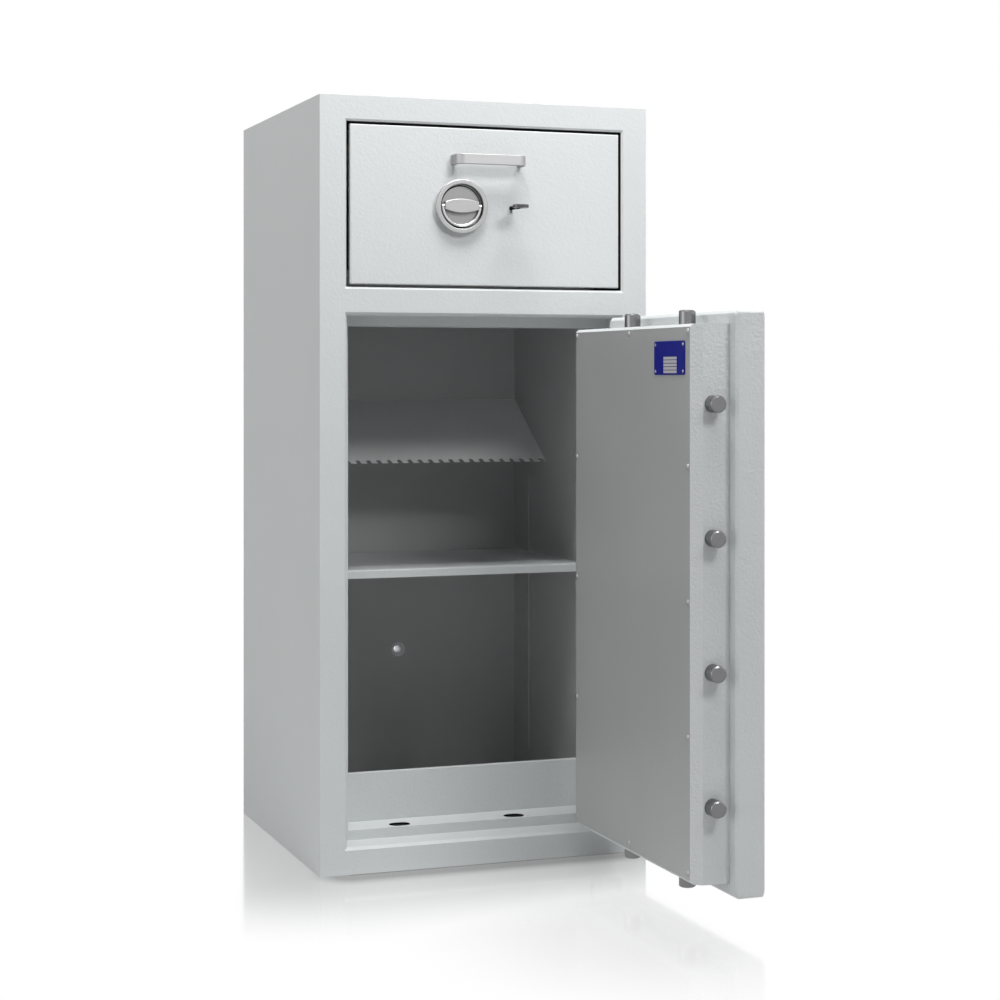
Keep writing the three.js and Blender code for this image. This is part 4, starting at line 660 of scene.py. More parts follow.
bolt_directions = {"side_bolt": (0, -1, 0), "upper_bolt": (0, 0, 1), "lower_bolt": (0, 0, -1)}
for node in sorted(remade):
    kind = node.rsplit("_", 1)[0]
    if kind not in bolt_directions:
        continue
    low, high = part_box(node)
    direction = Vector(bolt_directions[kind])
    size = high - low
    length = abs(size.dot(direction))
    root = (low + high) / 2 - direction * length / 2
    mesh = bolt_mesh(node + "_turned", size.x / 2, length)
    mesh.transform(axis_frame(root, direction))
    smooth_by_angle(mesh, BOLT_SMOOTH)
    piece = new_piece(node + "_turned", mesh, turned_steel)
    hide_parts(node)
    settle(piece, node)
print("bolts", [node for node in sorted(remade) if "bolt" in node])

# %% [markdown]
# ## Round handles
# The handle on the door and the one on the drawer are the same pattern: a proud ring, a grip
# shaped like a lens on a disc that turns in it, and a half-ring bail that folds out of the grip
# to give a hold. The ring could be a torus, but its crown is flat and its side is undercut, so
# it is turned from a profile. Pairs of millimetres go in from an edge and down from the crown.
# It is drawn facing up and then placed.

# %% Rosette
FACE_TURN = Matrix.Rotation(math.radians(90), 4, "X")
BORE_EDGE_MM = ((0.0, 1.0), (0.3, 0.3), (1.0, 0.0), (1.3, 0.0))
CROWN_EDGE_MM = ((2.0, 0.0), (1.7, 0.0), (0.8, 0.3), (0.25, 0.9), (0.0, 1.8), (0.3, 3.5))
UNDERCUT = 3.2 * MM


def rosette_mesh(name, outer, bore, proud):
    """A ring with a softened rim. Station 0 is the face it sits on, and stations grow outwards."""
    return turned_mesh(name, [
        (bore, 0.0),
        *((bore + out * MM, proud - down * MM) for out, down in BORE_EDGE_MM),
        *((outer - inward * MM, proud - down * MM) for inward, down in CROWN_EDGE_MM),
        (outer - UNDERCUT, 0.0),
        (bore, 0.0),
    ])


print("ring profile", len(BORE_EDGE_MM) + len(CROWN_EDGE_MM) + 3, "points")

# %% [markdown]
# The grip is a lens with cut ends that stands on a thin disc, which fills the ring. A scaled
# sphere would be too round. Its outline is two arcs, and the outline shrinks in a few rings
# towards the front, so that the edge between front and side is soft and catches a line of light.

# %% Grip
LENS_STEPS = 24
LENS_EDGE_MM = ((0.0, 1.5), (0.3, 0.6), (1.0, 0.1), (1.6, 0.0), (1.9, 0.0))


def grip_mesh(name, half, height, end_height, back, front, lift):
    """A lens from station back to station front, with a softened front edge."""
    rise = (height - end_height) / 2
    radius = (half ** 2 + rise ** 2) / (2 * rise)

    def ring(inset, station):
        points = []
        for sign in (1, -1):
            for i in range(LENS_STEPS + 1):
                across = sign * (half - inset) * (1 - 2 * i / LENS_STEPS)
                up = math.sqrt(radius ** 2 - across ** 2) - radius + height / 2 - inset
                points.append((across, sign * up + lift, station))
        return points

    rings = [ring(inset * MM, front - down * MM) for inset, down in LENS_EDGE_MM]
    return ring_skin(name, [ring(0.0, back), *rings])


def ring_skin(name, rings):
    """Skins rings of equal count and caps both ends."""
    bm = bmesh.new()
    rows = [[bm.verts.new(point) for point in ring] for ring in rings]
    for first, second in zip(rows, rows[1:]):
        count = len(first)
        for i in range(count):
            j = (i + 1) % count
            bm.faces.new((first[i], first[j], second[j], second[i]))
    bm.faces.new(rows[0])
    bm.faces.new(list(reversed(rows[-1])))
    bmesh.ops.recalc_face_normals(bm, faces=bm.faces)
    mesh = bpy.data.meshes.new(name)
    bm.to_mesh(mesh)
    bm.free()
    return mesh


def joined(name, *parts):
    """One mesh out of several."""
    bm = bmesh.new()
    for part in parts:
        bm.from_mesh(part)
    mesh = bpy.data.meshes.new(name)
    bm.to_mesh(mesh)
    bm.free()
    return mesh


print("lens rings", len(LENS_EDGE_MM) + 1)

# %% [markdown]
# The bail is a round bar along a half circle, and each end closes with an eye, a short boss that
# the pin passes through. A curve with a bevel could make the bar, but it would still need its
# ends closed. A sweep of rings round the arc makes it in one go, and the bosses are turned.

# %% Bail
BAIL_STEPS = 48
BAIL_SIDES = 16
EYE_STEPS = 32
EYE_END_SHARE = 0.85
EYE_EDGE = 0.5 * MM


def bail_mesh(name, radius, bar, boss_length):
    rings = []
    for i in range(BAIL_STEPS + 1):
        angle = math.pi * (1 + i / BAIL_STEPS)
        outward = Vector((math.cos(angle), 0, math.sin(angle)))
        centre = outward * radius
        rings.append([
            centre + outward * bar * math.cos(turn) + Vector((0, bar * math.sin(turn), 0))
            for turn in (2 * math.pi * k / BAIL_SIDES for k in range(BAIL_SIDES))
        ])
    end = boss_length / 2
    bosses = []
    for side in (-1, 1):
        boss = turned_mesh(name + "_boss", [
            (0.0, -end), (bar * EYE_END_SHARE, -end), (bar, -end + EYE_EDGE),
            (bar, end - EYE_EDGE), (bar * EYE_END_SHARE, end), (0.0, end),
        ], EYE_STEPS)
        boss.transform(axis_frame((side * radius, 0, 0), (1, 0, 0)))
        bosses.append(boss)
    return joined(name, ring_skin(name + "_bar", rings), *bosses)


print("bail", BAIL_STEPS * BAIL_SIDES, "faces along the bar")

# %% [markdown]
# One function fits all pieces of a handle to the boxes of the nodes that they stand for, so both
# handles follow the solids. The disc and the black ring round it have no node of their own and
# sit on the grip, so that they turn with it. The black ring is painted shade: it stands for the
# deep gap between the disc and the ring, where the light does not reach.

# %% Handle helper
RING_WIDTH = 9 * MM
DISC_BACK = 0.3 * MM
DISC_FRONT = 2.3 * MM
DISC_EDGE = 0.2 * MM
DISC_RADIUS = 37.2 * MM
# The thin black ring round the disc is painted shade for the gap between disc and ring.
GAP_SHADE_RADIUS = 39.5 * MM
GAP_SHADE_FRONT = 0.5 * MM
SPINDLE_RADIUS = 6 * MM
SPINDLE_FRONT = 0.5 * MM
BAIL_BAR = 3 * MM
BAIL_EYE = 5.4 * MM
GRIP_HEIGHT = 26.5 * MM
GRIP_END = 14 * MM
GRIP_CLEARANCE = 3.1 * MM
RING_SMOOTH = 24
GRIP_SMOOTH = 28
BAIL_SMOOTH = 40


def fit_handle(prefix, place, box_of):
    """Meshes of a round handle on a face that looks along -Y, each with its node and finish."""
    ring_box, grip_box, bail_box = (
        box_of(prefix + tail) for tail in ("_rosette", "_grip", "_bail")
    )
    outer = (ring_box[1].z - ring_box[0].z) / 2
    proud = place.y - ring_box[0].y
    bail_radius = (bail_box[1].x - bail_box[0].x) / 2 - BAIL_EYE / 2
    bail_place = Vector((place.x, (bail_box[0].y + bail_box[1].y) / 2, bail_box[1].z - BAIL_BAR))
    ring = rosette_mesh(prefix + "_rosette_turned", outer, outer - RING_WIDTH, proud)
    lens = grip_mesh(
        prefix + "_lens",
        half=bail_radius - GRIP_CLEARANCE,
        height=GRIP_HEIGHT,
        end_height=GRIP_END,
        back=DISC_FRONT / 2,
        front=place.y - grip_box[0].y,
        lift=bail_place.z - place.z,
    )
    disc = turned_mesh(prefix + "_disc", [
        (0.0, DISC_BACK), (DISC_RADIUS, DISC_BACK), (DISC_RADIUS, DISC_FRONT - DISC_EDGE),
        (DISC_RADIUS - DISC_EDGE, DISC_FRONT), (0.0, DISC_FRONT),
    ])
    spindle_back = place.y - grip_box[1].y
    spindle = turned_mesh(prefix + "_spindle", [
        (0.0, SPINDLE_FRONT), (SPINDLE_RADIUS, SPINDLE_FRONT),
        (SPINDLE_RADIUS, spindle_back), (0.0, spindle_back),
    ], EYE_STEPS)
    # A thin black ring of painted shade, where the gap round the disc lies in shadow.
    gap_shade = turned_mesh(prefix + "_groove", [
        (0.0, DISC_BACK), (GAP_SHADE_RADIUS, DISC_BACK),
        (GAP_SHADE_RADIUS, GAP_SHADE_FRONT), (0.0, GAP_SHADE_FRONT),
    ])
    grip = joined(prefix + "_grip_formed", lens, spindle)
    for mesh in (ring, grip, disc, gap_shade):
        mesh.transform(Matrix.Translation(place) @ FACE_TURN)
    bail = bail_mesh(prefix + "_bail_formed", bail_radius, BAIL_BAR, BAIL_EYE)
    bail.transform(Matrix.Translation(bail_place))
    return [
        (ring, prefix + "_rosette", RING_SMOOTH, ring_silver),
        (grip, prefix + "_grip", GRIP_SMOOTH, lens_silver),
        (bail, prefix + "_bail", BAIL_SMOOTH, bail_silver),
        (disc, prefix + "_grip", GRIP_SMOOTH, dish_silver),
        (gap_shade, prefix + "_grip", GRIP_SMOOTH, groove_black),
    ]


print("handle helper", fit_handle.__name__)

# %% [markdown]
# The drawer's handle is built where it is. The door's is built on the shut door, where its axes
# are straight, and then swung open with the door, which is easier than building it turned.

# %% Place the handles
drawer_spot = centre_of("drawer_rosette")
drawer_spot.y = front_y
door_spot = shut_centre_of("door_rosette")
door_spot.y = front_y
handles = fit_handle("drawer", drawer_spot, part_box)
door_handle_pieces = fit_handle("door", door_spot, shut_box)
for mesh, *_ in door_handle_pieces:
    mesh.transform(open_door)
for mesh, node, angle, material in handles + door_handle_pieces:
    smooth_by_angle(mesh, angle)
    piece = new_piece(mesh.name + "_piece", mesh, material)
    if material in (ring_silver, lens_silver, bail_silver):
        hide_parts(node)
    settle(piece, node)
for spot in (drawer_spot, open_door @ door_spot):
    print("handle at", [round(v, 3) for v in spot])

# %% [markdown]
# ## Bow handle
# A flat bar is bent into a wide U. It could be swept along a path, but the corners would then
# pinch. Its outline, seen from above, has round outer and inner corners, so the outline is drawn
# and given its height, and all its long edges are slightly broken.

# %% Bow handle
low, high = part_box("bow_handle")
BOW_BAR = 7 * MM
BOW_BEND = 16 * MM
BOW_CORNER_STEPS = 10
BOW_EDGE_MM = 1.1
BOW_EDGE_SEGMENTS = 3
BOW_EDGE_ANGLE = 50
BOW_SMOOTH = 30


def bow_outline():
    bend_y = low.y + BOW_BEND

    def corner(cx, radius, start, turn):
        angles = [start + turn * i / BOW_CORNER_STEPS for i in range(BOW_CORNER_STEPS + 1)]
        return [(cx + radius * math.cos(a), bend_y + radius * math.sin(a)) for a in angles]

    inner = BOW_BEND - BOW_BAR
    quarter = math.pi / 2
    return [
        (low.x, high.y),
        *corner(low.x + BOW_BEND, BOW_BEND, 2 * quarter, quarter),
        *corner(high.x - BOW_BEND, BOW_BEND, 3 * quarter, quarter),
        (high.x, high.y),
        (high.x - BOW_BAR, high.y),
        *corner(high.x - BOW_BEND, inner, 4 * quarter, -quarter),
        *corner(low.x + BOW_BEND, inner, 3 * quarter, -quarter),
        (low.x + BOW_BAR, high.y),
    ]


bow_rings = [[(x, y, level) for x, y in bow_outline()] for level in (low.z, high.z)]
bow = new_piece("bow_handle_bent", ring_skin("bow_handle_bent", bow_rings), satin_silver)
smooth_by_angle(bow.data, BOW_SMOOTH)
soften(bow, BOW_EDGE_MM, BOW_EDGE_SEGMENTS, BOW_EDGE_ANGLE)
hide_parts("bow_handle")
settle(bow, "bow_handle")
print("bow handle", round(high.x - low.x, 3), "m wide")

# %% [markdown]
# ## Key
# The key has a round shank and a flat oval bow with a hole. The shank is painted black, a painted
# shade for the shadow in which it stands at the keyhole. The bow lies level, so that from the
# front it is seen on its edge. One turned piece could make both only if they
# shared an axis, and they don't, so the shank is turned round the key's length and the bow round
# its own hole.

# %% Key
key_low, key_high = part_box("drawer_key")
key_x = (key_low.x + key_high.x) / 2
key_z = (key_low.z + key_high.z) / 2
bow_radius = (key_high.x - key_low.x) / 2
bow_centre = Vector((key_x, key_low.y + bow_radius, key_z))
SHANK_RADIUS = 4.2 * MM
SHANK_STEPS = 32
SHANK_MOUTH = 0.6 * MM
SHANK_TIP = 1 * MM
SHANK_SHARES = {"mouth": 0.85, "neck": 0.8, "tip": 0.6}
BLACK_END_SHARE = 1.1
NECK_START_SHARE = 1.15
BOW_STEPS = 48
BOW_NARROW_SHARE = 0.86
BOW_SHIFT_SHARE = 0.14
BOW_PROFILE_SHARES = (
    (0.34, -0.5), (0.94, -0.5), (1.0, -0.36), (1.0, 0.36), (0.94, 0.5), (0.34, 0.5), (0.34, -0.5),
)
KEY_SMOOTH = 30

shank_end = key_high.y - bow_centre.y
shank = turned_mesh("key_shank", [
    (0.0, 0.0),
    (SHANK_RADIUS * SHANK_SHARES["mouth"], 0.0),
    (SHANK_RADIUS, SHANK_MOUTH),
    (SHANK_RADIUS, bow_radius * BLACK_END_SHARE),
    (SHANK_RADIUS * SHANK_SHARES["neck"], bow_radius * NECK_START_SHARE),
    (SHANK_RADIUS * SHANK_SHARES["neck"], shank_end - SHANK_TIP),
    (SHANK_RADIUS * SHANK_SHARES["tip"], shank_end),
    (0.0, shank_end),
], SHANK_STEPS)
shank.transform(axis_frame(bow_centre, (0, 1, 0)))
oval = turned_mesh("key_bow", BOW_PROFILE_SHARES, BOW_STEPS)
oval_size = (bow_radius, bow_radius * BOW_NARROW_SHARE, key_high.z - key_low.z, 1.0)
oval.transform(Matrix.Diagonal(oval_size))
oval.transform(Matrix.Translation(bow_centre - Vector((0, bow_radius * BOW_SHIFT_SHARE, 0))))
# The shank takes the black of painted shade, the bow its metal.
key_pieces = (("drawer_key_bow", oval, key_nickel), ("drawer_key_shank", shank, key_black))
for name, mesh, material in key_pieces:
    smooth_by_angle(mesh, KEY_SMOOTH)
    key = new_piece(name, mesh, material)
    if mesh is oval:
        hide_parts("drawer_key")
    settle(key, "drawer_key")
print("key reaches", round(front_y - key_low.y, 3), "m out of the front")

# %% [markdown]
# ## Anchor sleeve
# The wall bolt passes through a turned lining, which sits in a recess of the back wall. Its mouth
# is stepped and sloped to take the bolt's head, which a plain tube would lack.

# %% Anchor sleeve
BORE_RADIUS = 6.5 * MM
SEAT_RADIUS = 9.5 * MM
MOUTH_RADIUS = 12.3 * MM
LINING_RADIUS = 14 * MM
SEAT_DEPTH = 10 * MM
SLOPE_DEPTH = 2.5 * MM
MOUTH_DEPTH = 0.6 * MM
LINING_STEPS = 48
LINING_SMOOTH = 25

low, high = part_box("anchor_sleeve")
anchor = centre_of("anchor_sleeve")
sleeve = turned_mesh("anchor_sleeve_turned", [
    (BORE_RADIUS, SEAT_DEPTH),
    (SEAT_RADIUS, SEAT_DEPTH),
    (SEAT_RADIUS, SLOPE_DEPTH),
    (MOUTH_RADIUS, MOUTH_DEPTH),
    (MOUTH_RADIUS, 0.0),
    (LINING_RADIUS, 0.0),
    (LINING_RADIUS, high.y - low.y),
    (BORE_RADIUS, high.y - low.y),
    (BORE_RADIUS, SEAT_DEPTH),
], LINING_STEPS)
sleeve.transform(axis_frame((anchor.x, low.y, anchor.z), (0, 1, 0)))
smooth_by_angle(sleeve, LINING_SMOOTH)
piece = new_piece("anchor_sleeve_turned", sleeve, zinc_plate)
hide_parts("anchor_sleeve")
settle(piece, "anchor_sleeve")
print("anchor sleeve at height", round(anchor.z, 3), "m")

# %% [markdown]
# ## Repeated fasteners
# Screws and rivets repeat on a grid. They could be copied in a loop, but one Geometry Nodes tree
# does it with the counts and the span as its inputs, so that it fits both. It lays out a grid of
# points and puts a copy of the head on each, and the result is made a plain mesh.

# %% Fastener grid tree
HEAD_SMOOTH = 40


def grid_tree(name, material):
    tree = bpy.data.node_groups.new(name, "GeometryNodeTree")
    for label, kind in (
        ("Columns", "NodeSocketInt"),
        ("Rows", "NodeSocketInt"),
        ("Width", "NodeSocketFloat"),
        ("Height", "NodeSocketFloat"),
        ("Head", "NodeSocketObject"),
    ):
        tree.interface.new_socket(label, in_out="INPUT", socket_type=kind)
    tree.interface.new_socket("Geometry", in_out="OUTPUT", socket_type="NodeSocketGeometry")
    given = tree.nodes.new("NodeGroupInput")
    result = tree.nodes.new("NodeGroupOutput")
    grid = add_node(
        tree,
        "GeometryNodeMeshGrid",
        {
            "Size X": given.outputs["Width"],
            "Size Y": given.outputs["Height"],
            "Vertices X": given.outputs["Columns"],
            "Vertices Y": given.outputs["Rows"],
        },
    )
    head = add_node(tree, "GeometryNodeObjectInfo", {"Object": given.outputs["Head"]})
    heads = add_node(
        tree,
        "GeometryNodeInstanceOnPoints",
        {"Points": grid.outputs["Mesh"], "Instance": head.outputs["Geometry"]},
    )
    real = add_node(tree, "GeometryNodeRealizeInstances", {"Geometry": heads.outputs["Instances"]})
    shaded = add_node(
        tree,
        "GeometryNodeSetMaterial",
        {"Geometry": real.outputs["Geometry"], "Material": material},
    )
    tree.links.new(shaded.outputs["Geometry"], result.inputs["Geometry"])
    return tree


def grid_of(name, tree, head, columns, rows, width, height, place):
    """Evaluates the tree for one grid and returns a plain mesh piece. The grid faces +Z."""
    carrier = bpy.data.objects.new(name, bpy.data.meshes.new(name))
    scene.collection.objects.link(carrier)
    modifier = carrier.modifiers.new("grid", "NODES")
    modifier.node_group = tree
    values = {"Columns": columns, "Rows": rows, "Width": width, "Height": height, "Head": head}
    for item in tree.interface.items_tree:
        if item.in_out == "INPUT":
            modifier[item.identifier] = values[item.name]
    plain_mesh(carrier)
    carrier.data.transform(place)
    smooth_by_angle(carrier.data, HEAD_SMOOTH)
    return carrier


print("helpers", grid_tree.__name__, grid_of.__name__)

# %% [markdown]
# ## Cover screws
# The boltwork cover is held by domed screws: five down each edge and one more in the middle of
# the top and bottom rows. A half sphere would stand too high. The dome is a quarter of an ellipse
# on a short straight side, turned round its axis.

# %% Domed heads
SCREW_RADIUS = 4.8 * MM
SCREW_HEIGHT = 2.8 * MM
DOME_STEPS = 6
DOME_TURN_STEPS = 24
DOME_SIDE_SHARE = 0.15


def domed_head(name, radius, height):
    profile = [(0.0, 0.0), (radius, 0.0), (radius, DOME_SIDE_SHARE * height)]
    for i in range(1, DOME_STEPS + 1):
        angle = math.pi / 2 * i / DOME_STEPS
        rise = DOME_SIDE_SHARE + (1 - DOME_SIDE_SHARE) * math.sin(angle)
        profile.append((radius * math.cos(angle), height * rise))
    profile[-1] = (0.0, height)
    return bpy.data.objects.new(name, turned_mesh(name, profile, DOME_TURN_STEPS))


screw_head = domed_head("screw_head", SCREW_RADIUS, SCREW_HEIGHT)
screw_tree = grid_tree("screw_grid", satin_silver)
print("screw head", len(screw_head.data.polygons), "faces")

# %% [markdown]
# The rows and columns stand in from the cover's edges by the insets below. They are taken from
# the cover's own box on the shut door, so the screws stay on the cover if its size changes.

# %% Cover screws
NEAR_INSET = 7.4 * MM
FAR_INSET = 5 * MM
LOW_INSET = 11 * MM
HIGH_INSET = 6.4 * MM
SCREW_ROWS = 5

cover_low, cover_high = shut_box("boltwork_cover")
column_near = cover_low.x + NEAR_INSET
column_far = cover_high.x - FAR_INSET
row_low = cover_low.z + LOW_INSET
row_high = cover_high.z - HIGH_INSET
cover_middle = ((column_near + column_far) / 2, cover_high.y, (row_low + row_high) / 2)
face_back = Matrix.Rotation(math.radians(-90), 4, "X")
cover_place = open_door @ Matrix.Translation(cover_middle) @ face_back
screws = grid_of(
    "cover_screws", screw_tree, screw_head, columns=2, rows=SCREW_ROWS,
    width=column_far - column_near, height=row_high - row_low, place=cover_place,
)
settle(screws, "boltwork_cover")
middle_screws = grid_of(
    "cover_middle_screws", screw_tree, screw_head, columns=1, rows=2,
    width=0.0, height=row_high - row_low, place=cover_place,
)
settle(middle_screws, "boltwork_cover")
print("cover screws", len(screws.data.polygons), "faces")

# %% [markdown]
# ## Label plate
# The blue plate is held by four bright rivets, which use the same grid tree and the same dome. It
# carries a pale ruled field with nothing written in it. The rules could be painted, but strips of
# thin inlay with grooves between them also show in the mesh.

# %% Label plate details
RIVET_RADIUS = 2.6 * MM
RIVET_HEIGHT = 1.2 * MM
RIVET_INSET = 6 * MM
STRIP_COUNT = 5
STRIP_THICK = 0.3 * MM
STRIP_GAP = 1.1 * MM
FIELD_FOOT = 2.5 * MM
FIELD_SIDE_SHARE = 0.25
FIELD_WIDTH_SHARE = 0.43
FIELD_HEIGHT_SHARE = 0.5

label_low, label_high = shut_box("label_plate")
label_size = label_high - label_low
label_middle = (label_low.x + label_high.x) / 2, label_high.y, (label_low.z + label_high.z) / 2
rivet_head = domed_head("rivet_head", RIVET_RADIUS, RIVET_HEIGHT)
rivets = grid_of(
    "label_rivets", screw_tree, rivet_head, columns=2, rows=2,
    width=label_size.x - 2 * RIVET_INSET, height=label_size.z - 2 * RIVET_INSET,
    place=open_door @ Matrix.Translation(label_middle) @ face_back,
)
settle(rivets, "label_plate")

field_low = Vector((
    label_low.x + FIELD_SIDE_SHARE * label_size.x, label_high.y, label_low.z + FIELD_FOOT,
))
field_width = FIELD_WIDTH_SHARE * label_size.x
strip_pitch = FIELD_HEIGHT_SHARE * label_size.z / STRIP_COUNT
strip_size = (field_width, STRIP_THICK, strip_pitch - STRIP_GAP)
bm = bmesh.new()
for row in range(STRIP_COUNT):
    strip = bmesh.ops.create_cube(bm, size=1.0)["verts"]
    offset = (
        field_low.x + field_width / 2,
        field_low.y + STRIP_THICK / 2,
        field_low.z + (row + 0.5) * strip_pitch,
    )
    bmesh.ops.scale(bm, vec=strip_size, verts=strip)
    bmesh.ops.translate(bm, vec=offset, verts=strip)
field_mesh = bpy.data.meshes.new("label_field")
bm.to_mesh(field_mesh)
bm.free()
field_mesh.transform(open_door)
field = new_piece("label_field", field_mesh, label_pale)
settle(field, "label_plate")
print("label field", STRIP_COUNT, "strips")

# %% [markdown]
# ## Floor
# The floor is plain white to the camera. Near the feet of the cabinet and of the door it mirrors
# what stands on it, and the mirror fades with the distance to the foot, as polished studio paper
# does. A plain glossy floor would mirror everything to the top. The group measures the distance
# to a rectangle on the floor, and goes from 1 on it to 0 at its reach.

# %% Foot mask
foot_mask, mask_in, mask_out = shader_group(
    "foot_mask",
    {"Centre x": 0.0, "Centre y": 0.0, "Half x": 0.3, "Half y": 0.3, "Reach": 0.6},
    ("Mask",),
)
where = add_node(foot_mask, "ShaderNodeTexCoord")
axes = add_node(foot_mask, "ShaderNodeSeparateXYZ", {"Vector": where.outputs["Object"]})
beyond = {}
for axis in "XY":
    centre = mask_in.outputs["Centre " + axis.lower()]
    half = mask_in.outputs["Half " + axis.lower()]
    from_centre = math_out(foot_mask, "SUBTRACT", axes.outputs[axis], centre)
    size = math_out(foot_mask, "ABSOLUTE", from_centre)
    past = math_out(foot_mask, "SUBTRACT", size, half)
    beyond[axis] = math_out(foot_mask, "MAXIMUM", past, 0.0)
offset = add_node(foot_mask, "ShaderNodeCombineXYZ", beyond)
away = add_node(foot_mask, "ShaderNodeVectorMath", {0: offset.outputs[0]}, operation="LENGTH")
fade = add_node(
    foot_mask,
    "ShaderNodeMapRange",
    {
        "Value": away.outputs["Value"],
        "From Min": 0.0,
        "From Max": mask_in.outputs["Reach"],
        "To Min": 1.0,
        "To Max": 0.0,
    },
    interpolation_type="SMOOTHSTEP",
)
foot_mask.links.new(fade.outputs["Result"], mask_out.inputs["Mask"])
print("group", foot_mask.name)

# %% [markdown]
# Each foot is the rectangle that some nodes cover on the floor. Its place could be typed in, but
# the frame knows it.

# %% Floor helpers


def foot_of(*names):
    """Centre and half size of the rectangle that some nodes cover on the floor."""
    boxes = [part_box(name) for name in names]
    low = Vector([min(box[0][i] for box in boxes) for i in (0, 1)])
    high = Vector([max(box[1][i] for box in boxes) for i in (0, 1)])
    return (low + high) / 2, (high - low) / 2


def mask_near(tree, centre, half, reach):
    """Output of the foot mask round a rectangle."""
    return use_group(
        tree, foot_mask,
        centre_x=centre[0], centre_y=centre[1], half_x=half[0], half_y=half[1], reach=reach,
    ).outputs[0]


def blended(tree, share, first, second):
    """Output of a shader mix that goes from the first to the second with the share."""
    return add_node(tree, "ShaderNodeMixShader", {0: share, 1: first, 2: second}).outputs[0]


def glow(tree, level):
    colour = (level, level, level, 1)
    return add_node(tree, "ShaderNodeEmission", {"Color": colour, "Strength": 1.0}).outputs[0]


def square(name, size):
    bm = bmesh.new()
    bmesh.ops.create_grid(bm, x_segments=1, y_segments=1, size=size / 2)
    mesh = bpy.data.meshes.new(name)
    bm.to_mesh(mesh)
    bm.free()
    return mesh


print("helpers", [h.__name__ for h in (foot_of, mask_near, blended, glow, square)])

# %% [markdown]
# Where the front stands on the floor, a soft band of shade with a thin darker line in it marks
# the touch. Rays that only carry light meet a plain matt surface, and reflections in the safe see
# the floor as nearly white, so its bounce stays the same everywhere. Only the camera sees the
# mirror, the band and the line.

# %% Floor
FLOOR_SIZE = 30.0
FLOOR_WHITE = 0.7
FLOOR_IN_METAL = 0.9
CABINET_REACH = 0.47
CABINET_SHARE = 0.76
DOOR_REACH = 0.5
DOOR_SHARE = 0.25
MIRROR_ROUGHNESS = 0.1
BAND_REACH = 0.085
BAND_SHARE = 0.4
BAND_RISE = 1.6
BAND_CORNER_SHARE = 0.7
LINE_REACH = 0.02
LINE_SHARE = 0.65

floor_material = bpy.data.materials.new("floor")
floor_material.use_nodes = True
tree = floor_material.node_tree
matt = tree.nodes["Principled BSDF"]
matt.inputs["Base Color"].default_value = (FLOOR_WHITE, FLOOR_WHITE, FLOOR_WHITE, 1.0)
matt.inputs["Roughness"].default_value = 1.0
matt.inputs["Specular IOR Level"].default_value = 0.0
shares = [
    math_out(tree, "MULTIPLY", mask_near(tree, *foot_of(*names), reach), most)
    for reach, most, names in (
        (CABINET_REACH, CABINET_SHARE, ("outer_casing",)),
        (DOOR_REACH, DOOR_SHARE, ("door_skin", "boltwork_cover")),
    )
]
mirror = add_node(
    tree, "ShaderNodeBsdfAnisotropic", {"Color": (1, 1, 1, 1), "Roughness": MIRROR_ROUGHNESS},
).outputs[0]
lit = blended(tree, math_out(tree, "MAXIMUM", *shares), glow(tree, 1.0), mirror)
centre, half = foot_of("front_frame")
edge_centre = (centre.x, centre.y - half.y)
edge_half = (half.x - BAND_REACH * BAND_CORNER_SHARE, 0.0)
band = mask_near(tree, edge_centre, edge_half, BAND_REACH)
line = mask_near(tree, edge_centre, edge_half, LINE_REACH)
wide = math_out(tree, "MULTIPLY", band, BAND_SHARE * BAND_RISE)
press = math_out(
    tree, "MAXIMUM",
    math_out(tree, "MINIMUM", wide, BAND_SHARE),
    math_out(tree, "MULTIPLY", line, LINE_SHARE),
)
shaded = blended(tree, press, lit, glow(tree, 0.0))
path = add_node(tree, "ShaderNodeLightPath")
glossy = blended(tree, path.outputs["Is Glossy Ray"], matt.outputs[0], glow(tree, FLOOR_IN_METAL))
seen = blended(tree, path.outputs["Is Camera Ray"], glossy, shaded)
tree.links.new(seen, tree.nodes["Material Output"].inputs["Surface"])
floor = new_piece("floor", square("floor", FLOOR_SIZE), floor_material)
print("floor", FLOOR_SIZE, "m square")

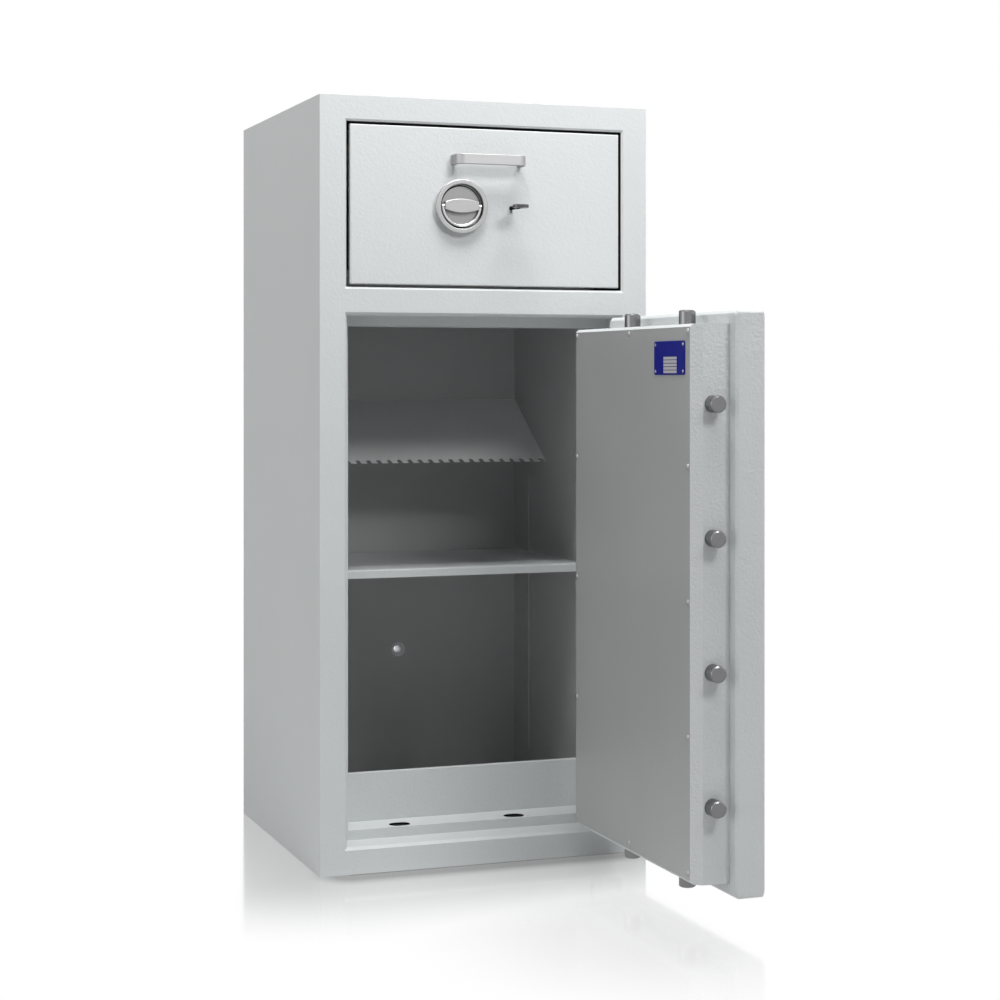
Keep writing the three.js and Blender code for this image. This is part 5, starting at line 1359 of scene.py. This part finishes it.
# %% [markdown]
# ## Light
# The key light is a soft box high in front and a little to the right: the shadows of the handles
# fall down and to the left, and the front grows darker towards the floor. Weak boxes fill both
# sides, two more light the back, and the world adds a low even level. A box over the front lights
# what faces up, such as the ledge and the shelf. It would burn out the flat top of the casing, so
# light linking keeps it off that piece. Each row gives a lamp's place, its target, its two sizes
# and its power.

# %% Lamps
AMBIENT = 0.13
LAMPS = {
    "key": ((0.8, -2.6, 2.6), (0.0, -0.3, 1.1), (0.7, 0.6), 26),
    "left_fill": ((-3.8, -0.9, 1.3), (0, -0.2, 0.7), (2.6, 2.4), 27),
    "top": ((0.0, -1.1, 3.3), (0, -0.6, 0), (1.6, 0.9), 72),
    "right_fill": ((3.2, -2.0, 1.4), (0.1, -0.4, 0.7), (2.0, 2.0), 8),
    "back_left": ((-2.5, 2.5, 2.4), (-0.2, 0.1, 0.8), (1.6, 1.6), 18),
    "back_right": ((2.9, 2.4, 2.0), (0.2, 0.0, 0.8), (1.6, 1.6), 26),
}

world = bpy.data.worlds.new("studio")
world.use_nodes = True
scene.world = world
tree = world.node_tree
ambient = tree.nodes["Background"]
ambient.inputs["Color"].default_value = (1, 1, 1, 1)
ambient.inputs["Strength"].default_value = AMBIENT
bright = add_node(tree, "ShaderNodeBackground", {"Color": (1, 1, 1, 1), "Strength": 1.0})
path = add_node(tree, "ShaderNodeLightPath")
seen = math_out(tree, "MAXIMUM", path.outputs["Is Camera Ray"], path.outputs["Is Glossy Ray"])
backdrop = blended(tree, seen, ambient.outputs[0], bright.outputs[0])
tree.links.new(backdrop, tree.nodes["World Output"].inputs["Surface"])


def soft_box(name, place, target, size, power):
    data = bpy.data.lights.new(name, "AREA")
    data.shape = "RECTANGLE"
    data.size, data.size_y = size
    data.energy = power
    lamp = bpy.data.objects.new(name, data)
    lamp.location = place
    lamp.rotation_euler = (Vector(target) - Vector(place)).to_track_quat("-Z", "Y").to_euler()
    scene.collection.objects.link(lamp)
    return lamp


lamps = {name: soft_box(name, *values) for name, values in LAMPS.items()}
spared = bpy.data.collections.new("spared_by_top")
spared.objects.link(bpy.data.objects["outer_casing_dressed"])
lamps["top"].light_linking.receiver_collection = spared
spared.collection_objects[0].light_linking.link_state = "EXCLUDE"
print("lamps", list(lamps))
